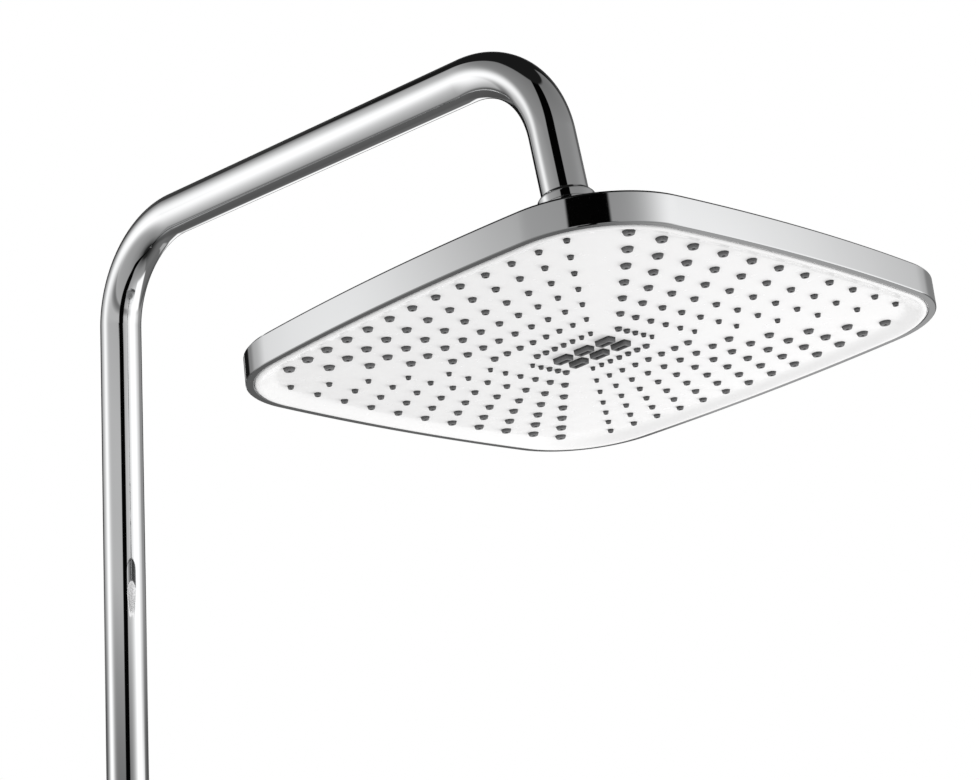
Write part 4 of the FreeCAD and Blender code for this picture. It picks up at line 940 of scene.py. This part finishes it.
def make_cover():
    """Domed back shell with the hub's seat, and the screw bosses under it."""
    edge = outline(INNER_INSET + COVER_EDGE)
    turns = [math.atan2(y, x) for x, y in edge]
    dome_foot = ring_at(DOME_RADIUS, 0, turns)

    def border(share, height):
        """Ring between the cover's edge and the dome's foot."""
        return [(x + (foot_x - x) * share, y + (foot_y - y) * share, height)
                for (x, y), (foot_x, foot_y, _) in zip(edge, dome_foot)]

    def dome(drop):
        """Rings from the dome's foot to the hub's seat, on a sphere about a point on the axis."""
        foot, top = BAND_TOP - drop, HUB_SEAT - drop
        middle = (DOME_RADIUS ** 2 + foot ** 2 - HUB_SEAT_RADIUS ** 2 - top ** 2) / (2 * (foot - top))
        radius = math.hypot(DOME_RADIUS, foot - middle)
        first = math.asin(DOME_RADIUS / radius)
        last = math.asin(HUB_SEAT_RADIUS / radius)
        angles = [first + (last - first) * step / DOME_STEPS for step in range(DOME_STEPS + 1)]
        return [ring_at(radius * math.sin(angle), middle + radius * math.cos(angle), turns)
                for angle in angles]

    rings = [lifted(outline(INNER_INSET), COVER_FOOT), lifted(outline(INNER_INSET), BAND_TOP - COVER_EDGE),
             lifted(outline(INNER_INSET + COVER_EDGE_MIDDLE), BAND_TOP - COVER_EDGE_MIDDLE)]
    rings += [border(share, BAND_TOP) for share in BORDER_SHARES]
    rings += dome(0.0)
    rings += [ring_at(HUB_SEAT_RADIUS - HUB_SEAT_EDGE, HUB_SEAT, turns),
              ring_at(COVER_HOLE + COVER_HOLE_EDGE, HUB_SEAT, turns),
              ring_at(COVER_HOLE, HUB_SEAT - COVER_HOLE_EDGE, turns),
              ring_at(COVER_HOLE, HUB_SEAT - COVER_WALL, turns)]
    rings += list(reversed(dome(COVER_WALL)))
    rings += [border(BORDER_MIDDLE, COVER_FOOT)]
    shapes = [loft(rings)]
    boss_top = COVER_FOOT + BOSS_SINK
    boss, boss_faces = lathe([(BOSS_BORE, BOSS_FOOT), (BOSS_RADIUS, BOSS_FOOT), (BOSS_RADIUS, boss_top),
                              (BOSS_BORE, boss_top)], BOSS_SIDES)
    for quarter in range(4):
        turn = Matrix.Rotation(quarter * math.pi / 2, 2)
        for spot in BOSS_SPOTS:
            centre = turn @ Vector(spot)
            shapes.append(([(centre.x + x, centre.y + y, z) for x, y, z in boss], boss_faces))
    piece("back_shell", "head", "plated_plastic", ["top_cover"], shapes, ON_HEAD)


make_gooseneck()
make_connector()
make_retaining_nut()
make_hub()
make_union_nut()
make_inlet()
make_face()
make_nozzles()
make_jets()
make_rim()
make_cover()


# Studio: white surroundings, a pale floor, and a dome of soft panels and flags that only the gloss sees

# Places are in metres, and directions in degrees: bearings from +X towards +Y, and elevations
FLOOR_HEIGHT = -0.75
FLOOR_HALF = 4.0
LAMP_POWER = 3.2
LAMP_SIZE = 0.5
LAMP_PLACE = (0.65, -0.4, -0.1)
STUDIO_RADIUS = 3.0
STUDIO_CENTRE = Vector((0.0, -0.22, 0.2))
STUDIO_COLUMNS = 720
STUDIO_ROWS = 240
BRIGHTEST = 1.1

# Walls, as (elevation, shade) stops: the front one is on the camera's side, the back one behind the part
FRONT_WALL = [(-90, 0.005), (-78, 0.02), (-72, 0.1), (-58, 0.24), (-36, 0.33), (-2, 0.38), (1, 0.17),
              (4, 0.18), (7, 0.29), (10, 0.47), (15, 0.48), (20, 0.4), (25, 0.33), (30, 0.26), (45, 0.22),
              (60, 0.19), (90, 0.12)]
BACK_WALL = [(-90, 0.005), (-78, 0.03), (-60, 0.13), (-46, 0.16), (-30, 0.14), (-18, 0.14), (-4, 0.12),
             (2, 0.075), (5, 0.09), (9, 0.26), (15, 0.26), (20, 0.22), (30, 0.08), (42, 0.04), (52, 0.006),
             (90, 0.01)]
FRONT_START = (94, 104)
FRONT_END = 346
FRONT_SLANT = 0.25
FRONT_SOFTNESS = 5

# Low shadow on the back wall, from one bearing on
SHADOW_BEARING = 45
SHADOW_SIDE = (-2, 14)
SHADOW_TOP = (-6, 4)
SHADOW_DEPTH = 0.35

# Softboxes: bearing, lean, half width, taper, elevation, half height up and down, upper edge, brightness
SOFTBOXES = [(138, 0.5, 19, 0.22, 3, 31, 32, 2, 1.14), (307, 0.3, 29, 0, 6, 24, 32, 6, 1.3)]
SOFTBOX_LEAST_WIDTH = 8

# Cards: bearing, half width where the fading side begins and ends, lower edge, upper edge, brightness
CARDS = [(57, (28, 33), (6, 10), (26, 32), 0.01), (44, (4, 8), (-16, -8), (4, 9), 1.05),
         (30.5, (3.5, 7), (-42, -36), (-17, -13), 0.4), (321, (17, 24), (-43, -34), (2, 7), 1.1)]

# Black flag behind the camera, which moves aside and widens above, and moves aside below
FLAG_BEARING = 233
FLAG_SIDE = (11, 14)
FLAG_HIGH = (18, 21)
FLAG_HIGH_SHIFT = 14
FLAG_HIGH_WIDENING = 7
FLAG_LOW = (-58, -42)
FLAG_LOW_SHIFT = 8
FLAG_SHADE = 0.001

# Dark ceiling above a tilted brink, which dips on one side
CEILING_BRINK = 66
CEILING_SOFTNESS = 1.5
CEILING_TILT = 6
CEILING_HIGH_SIDE = 290
CEILING_DIP = 14
CEILING_DIP_SIDE = (104, 140)
CEILING_SHADE = 0.01


def between(value, stops):
    """Straight-line reading of a table of (place, shade) stops."""
    for (low, shade), (high, following) in zip(stops, stops[1:]):
        if value <= high:
            return shade + (following - shade) * max(0.0, value - low) / (high - low)
    return stops[-1][1]


def ease(value, low, high):
    """Soft step from 0 at low to 1 at high."""
    share = min(1.0, max(0.0, (value - low) / (high - low)))
    return share * share * (3 - 2 * share)


def away(azimuth, bearing):
    """Angle from a bearing, between -180 and 180 degrees."""
    return (azimuth - bearing + 180) % 360 - 180


def wall_shade(azimuth, elevation):
    end = FRONT_END + FRONT_SLANT * elevation
    front = ease(azimuth, *FRONT_START) * (1 - ease(azimuth, end - FRONT_SOFTNESS, end + FRONT_SOFTNESS))
    shadow = SHADOW_DEPTH * ease(away(azimuth, SHADOW_BEARING), *SHADOW_SIDE)
    shadow *= 1 - ease(elevation, *SHADOW_TOP)
    back = between(elevation, BACK_WALL) * (1 - shadow)
    return back + (between(elevation, FRONT_WALL) - back) * front


def flag_share(azimuth, elevation):
    high = ease(elevation, *FLAG_HIGH)
    low = 1 - ease(elevation, *FLAG_LOW)
    bearing = FLAG_BEARING - FLAG_HIGH_SHIFT * high - FLAG_LOW_SHIFT * low
    inner, outer = (side + FLAG_HIGH_WIDENING * high for side in FLAG_SIDE)
    return 1 - ease(abs(away(azimuth, bearing)), inner, outer)


def ceiling_share(azimuth, elevation):
    tilt = CEILING_TILT * math.cos(math.radians(azimuth - CEILING_HIGH_SIDE))
    brink = CEILING_BRINK + tilt - CEILING_DIP * (1 - ease(azimuth, *CEILING_DIP_SIDE))
    return ease(elevation, brink - CEILING_SOFTNESS, brink + CEILING_SOFTNESS)


def studio_shade(azimuth, elevation):
    """Brightness of the dome in one direction."""
    shade = wall_shade(azimuth, elevation)
    for bearing, lean, width, taper, height, above, below, edge, bright in SOFTBOXES:
        lift = elevation - height
        half = max(SOFTBOX_LEAST_WIDTH, width - taper * max(0, lift))
        turn = away(azimuth, bearing - lean * abs(lift)) / half
        fade = (lift / above) ** edge if lift > 0 else (lift / below) ** 2
        shade += (bright - shade) * math.exp(-turn ** 2 - fade)
    for bearing, side, foot, top, bright in CARDS:
        share = (1 - ease(abs(away(azimuth, bearing)), *side)) * ease(elevation, *foot)
        share *= 1 - ease(elevation, *top)
        shade += (bright - shade) * share
    shade += (FLAG_SHADE - shade) * flag_share(azimuth, elevation)
    shade += (CEILING_SHADE - shade) * ceiling_share(azimuth, elevation)
    return min(shade, BRIGHTEST)


def make_world():
    world = bpy.data.worlds.new("white_room")
    bpy.context.scene.world = world
    world.use_nodes = True
    background = world.node_tree.nodes["Background"]
    background.inputs["Color"].default_value = (1.0, 1.0, 1.0, 1)
    background.inputs["Strength"].default_value = 1.0


def glow_material():
    """Emission as strong as the mesh's glow attribute says."""
    material = bpy.data.materials.new("soft_panels")
    material.use_nodes = True
    tree = material.node_tree
    tree.nodes.clear()
    out = tree.nodes.new("ShaderNodeOutputMaterial")
    light = tree.nodes.new("ShaderNodeEmission")
    read = tree.nodes.new("ShaderNodeAttribute")
    read.attribute_name = "glow"
    tree.links.new(read.outputs["Fac"], light.inputs["Strength"])
    tree.links.new(light.outputs["Emission"], out.inputs["Surface"])
    material.cycles.emission_sampling = "NONE"
    return material


def make_dome():
    rings, shades = [], []
    for row in range(STUDIO_ROWS + 1):
        elevation = -90 + 180 * row / STUDIO_ROWS
        flat, rise = math.cos(math.radians(elevation)), math.sin(math.radians(elevation))
        azimuths = [360 * column / STUDIO_COLUMNS for column in range(STUDIO_COLUMNS)]
        ring = ring_at(flat, rise, [math.radians(azimuth) for azimuth in azimuths])
        rings.append([STUDIO_CENTRE + Vector(way) * STUDIO_RADIUS for way in ring])
        shades += [studio_shade(azimuth, elevation) for azimuth in azimuths]
    points, faces = loft(rings, closed=False)
    mesh = bpy.data.meshes.new("studio_dome")
    mesh.from_pydata(points, [], faces)
    glow = mesh.attributes.new("glow", "FLOAT", "POINT")
    glow.data.foreach_set("value", shades)
    mesh.materials.append(glow_material())
    dome = bpy.data.objects.new("studio_dome", mesh)
    bpy.context.scene.collection.objects.link(dome)
    dome.visible_camera = False
    dome.visible_diffuse = False
    dome.visible_shadow = False
    dome.visible_transmission = False


def make_floor():
    corners = [(x * FLOOR_HALF, y * FLOOR_HALF, FLOOR_HEIGHT)
               for x, y in ((-1, -1), (1, -1), (1, 1), (-1, 1))]
    mesh = bpy.data.meshes.new("studio_floor")
    mesh.from_pydata(corners, [], [(0, 1, 2, 3)])
    mesh.materials.append(moulded("pale_floor", dark=(0.86, 0.86, 0.86), light=(0.9, 0.9, 0.9),
                                  smooth=0.7, rough=0.9, grain=40.0, height=0.2))
    floor = bpy.data.objects.new("studio_floor", mesh)
    bpy.context.scene.collection.objects.link(floor)
    floor.visible_glossy = False


def make_lamp():
    """Low softbox that lights the face from the right, and that no mirror sees."""
    data = bpy.data.lights.new("low_softbox", "AREA")
    data.shape = "DISK"
    data.size = LAMP_SIZE
    data.energy = LAMP_POWER
    glow = bpy.data.objects.new("low_softbox", data)
    glow.location = LAMP_PLACE
    glow.rotation_euler = (BALL * MM - glow.location).to_track_quat("-Z", "Y").to_euler()
    glow.visible_camera = False
    glow.visible_glossy = False
    bpy.context.scene.collection.objects.link(glow)


# Camera at the photograph's viewpoint: place in millimetres, turn in degrees about X, Y and Z

CAMERA_SENSOR = 36.0
CAMERA_LENS = 96.896
CAMERA_PLACE = Vector((-834.1073, -1102.1397, -90.2966))
CAMERA_TURN = (104.36923, 2.85585, -44.58887)


def make_camera():
    scene = bpy.context.scene
    scene.view_settings.view_transform = "Standard"
    data = bpy.data.cameras.new("photo_camera")
    data.sensor_fit = "HORIZONTAL"
    data.sensor_width = CAMERA_SENSOR
    data.lens = CAMERA_LENS
    camera = bpy.data.objects.new("photo_camera", data)
    camera.location = CAMERA_PLACE * MM
    camera.rotation_euler = [math.radians(angle) for angle in CAMERA_TURN]
    scene.collection.objects.link(camera)
    scene.camera = camera


make_world()
make_dome()
make_floor()
make_lamp()
make_camera()
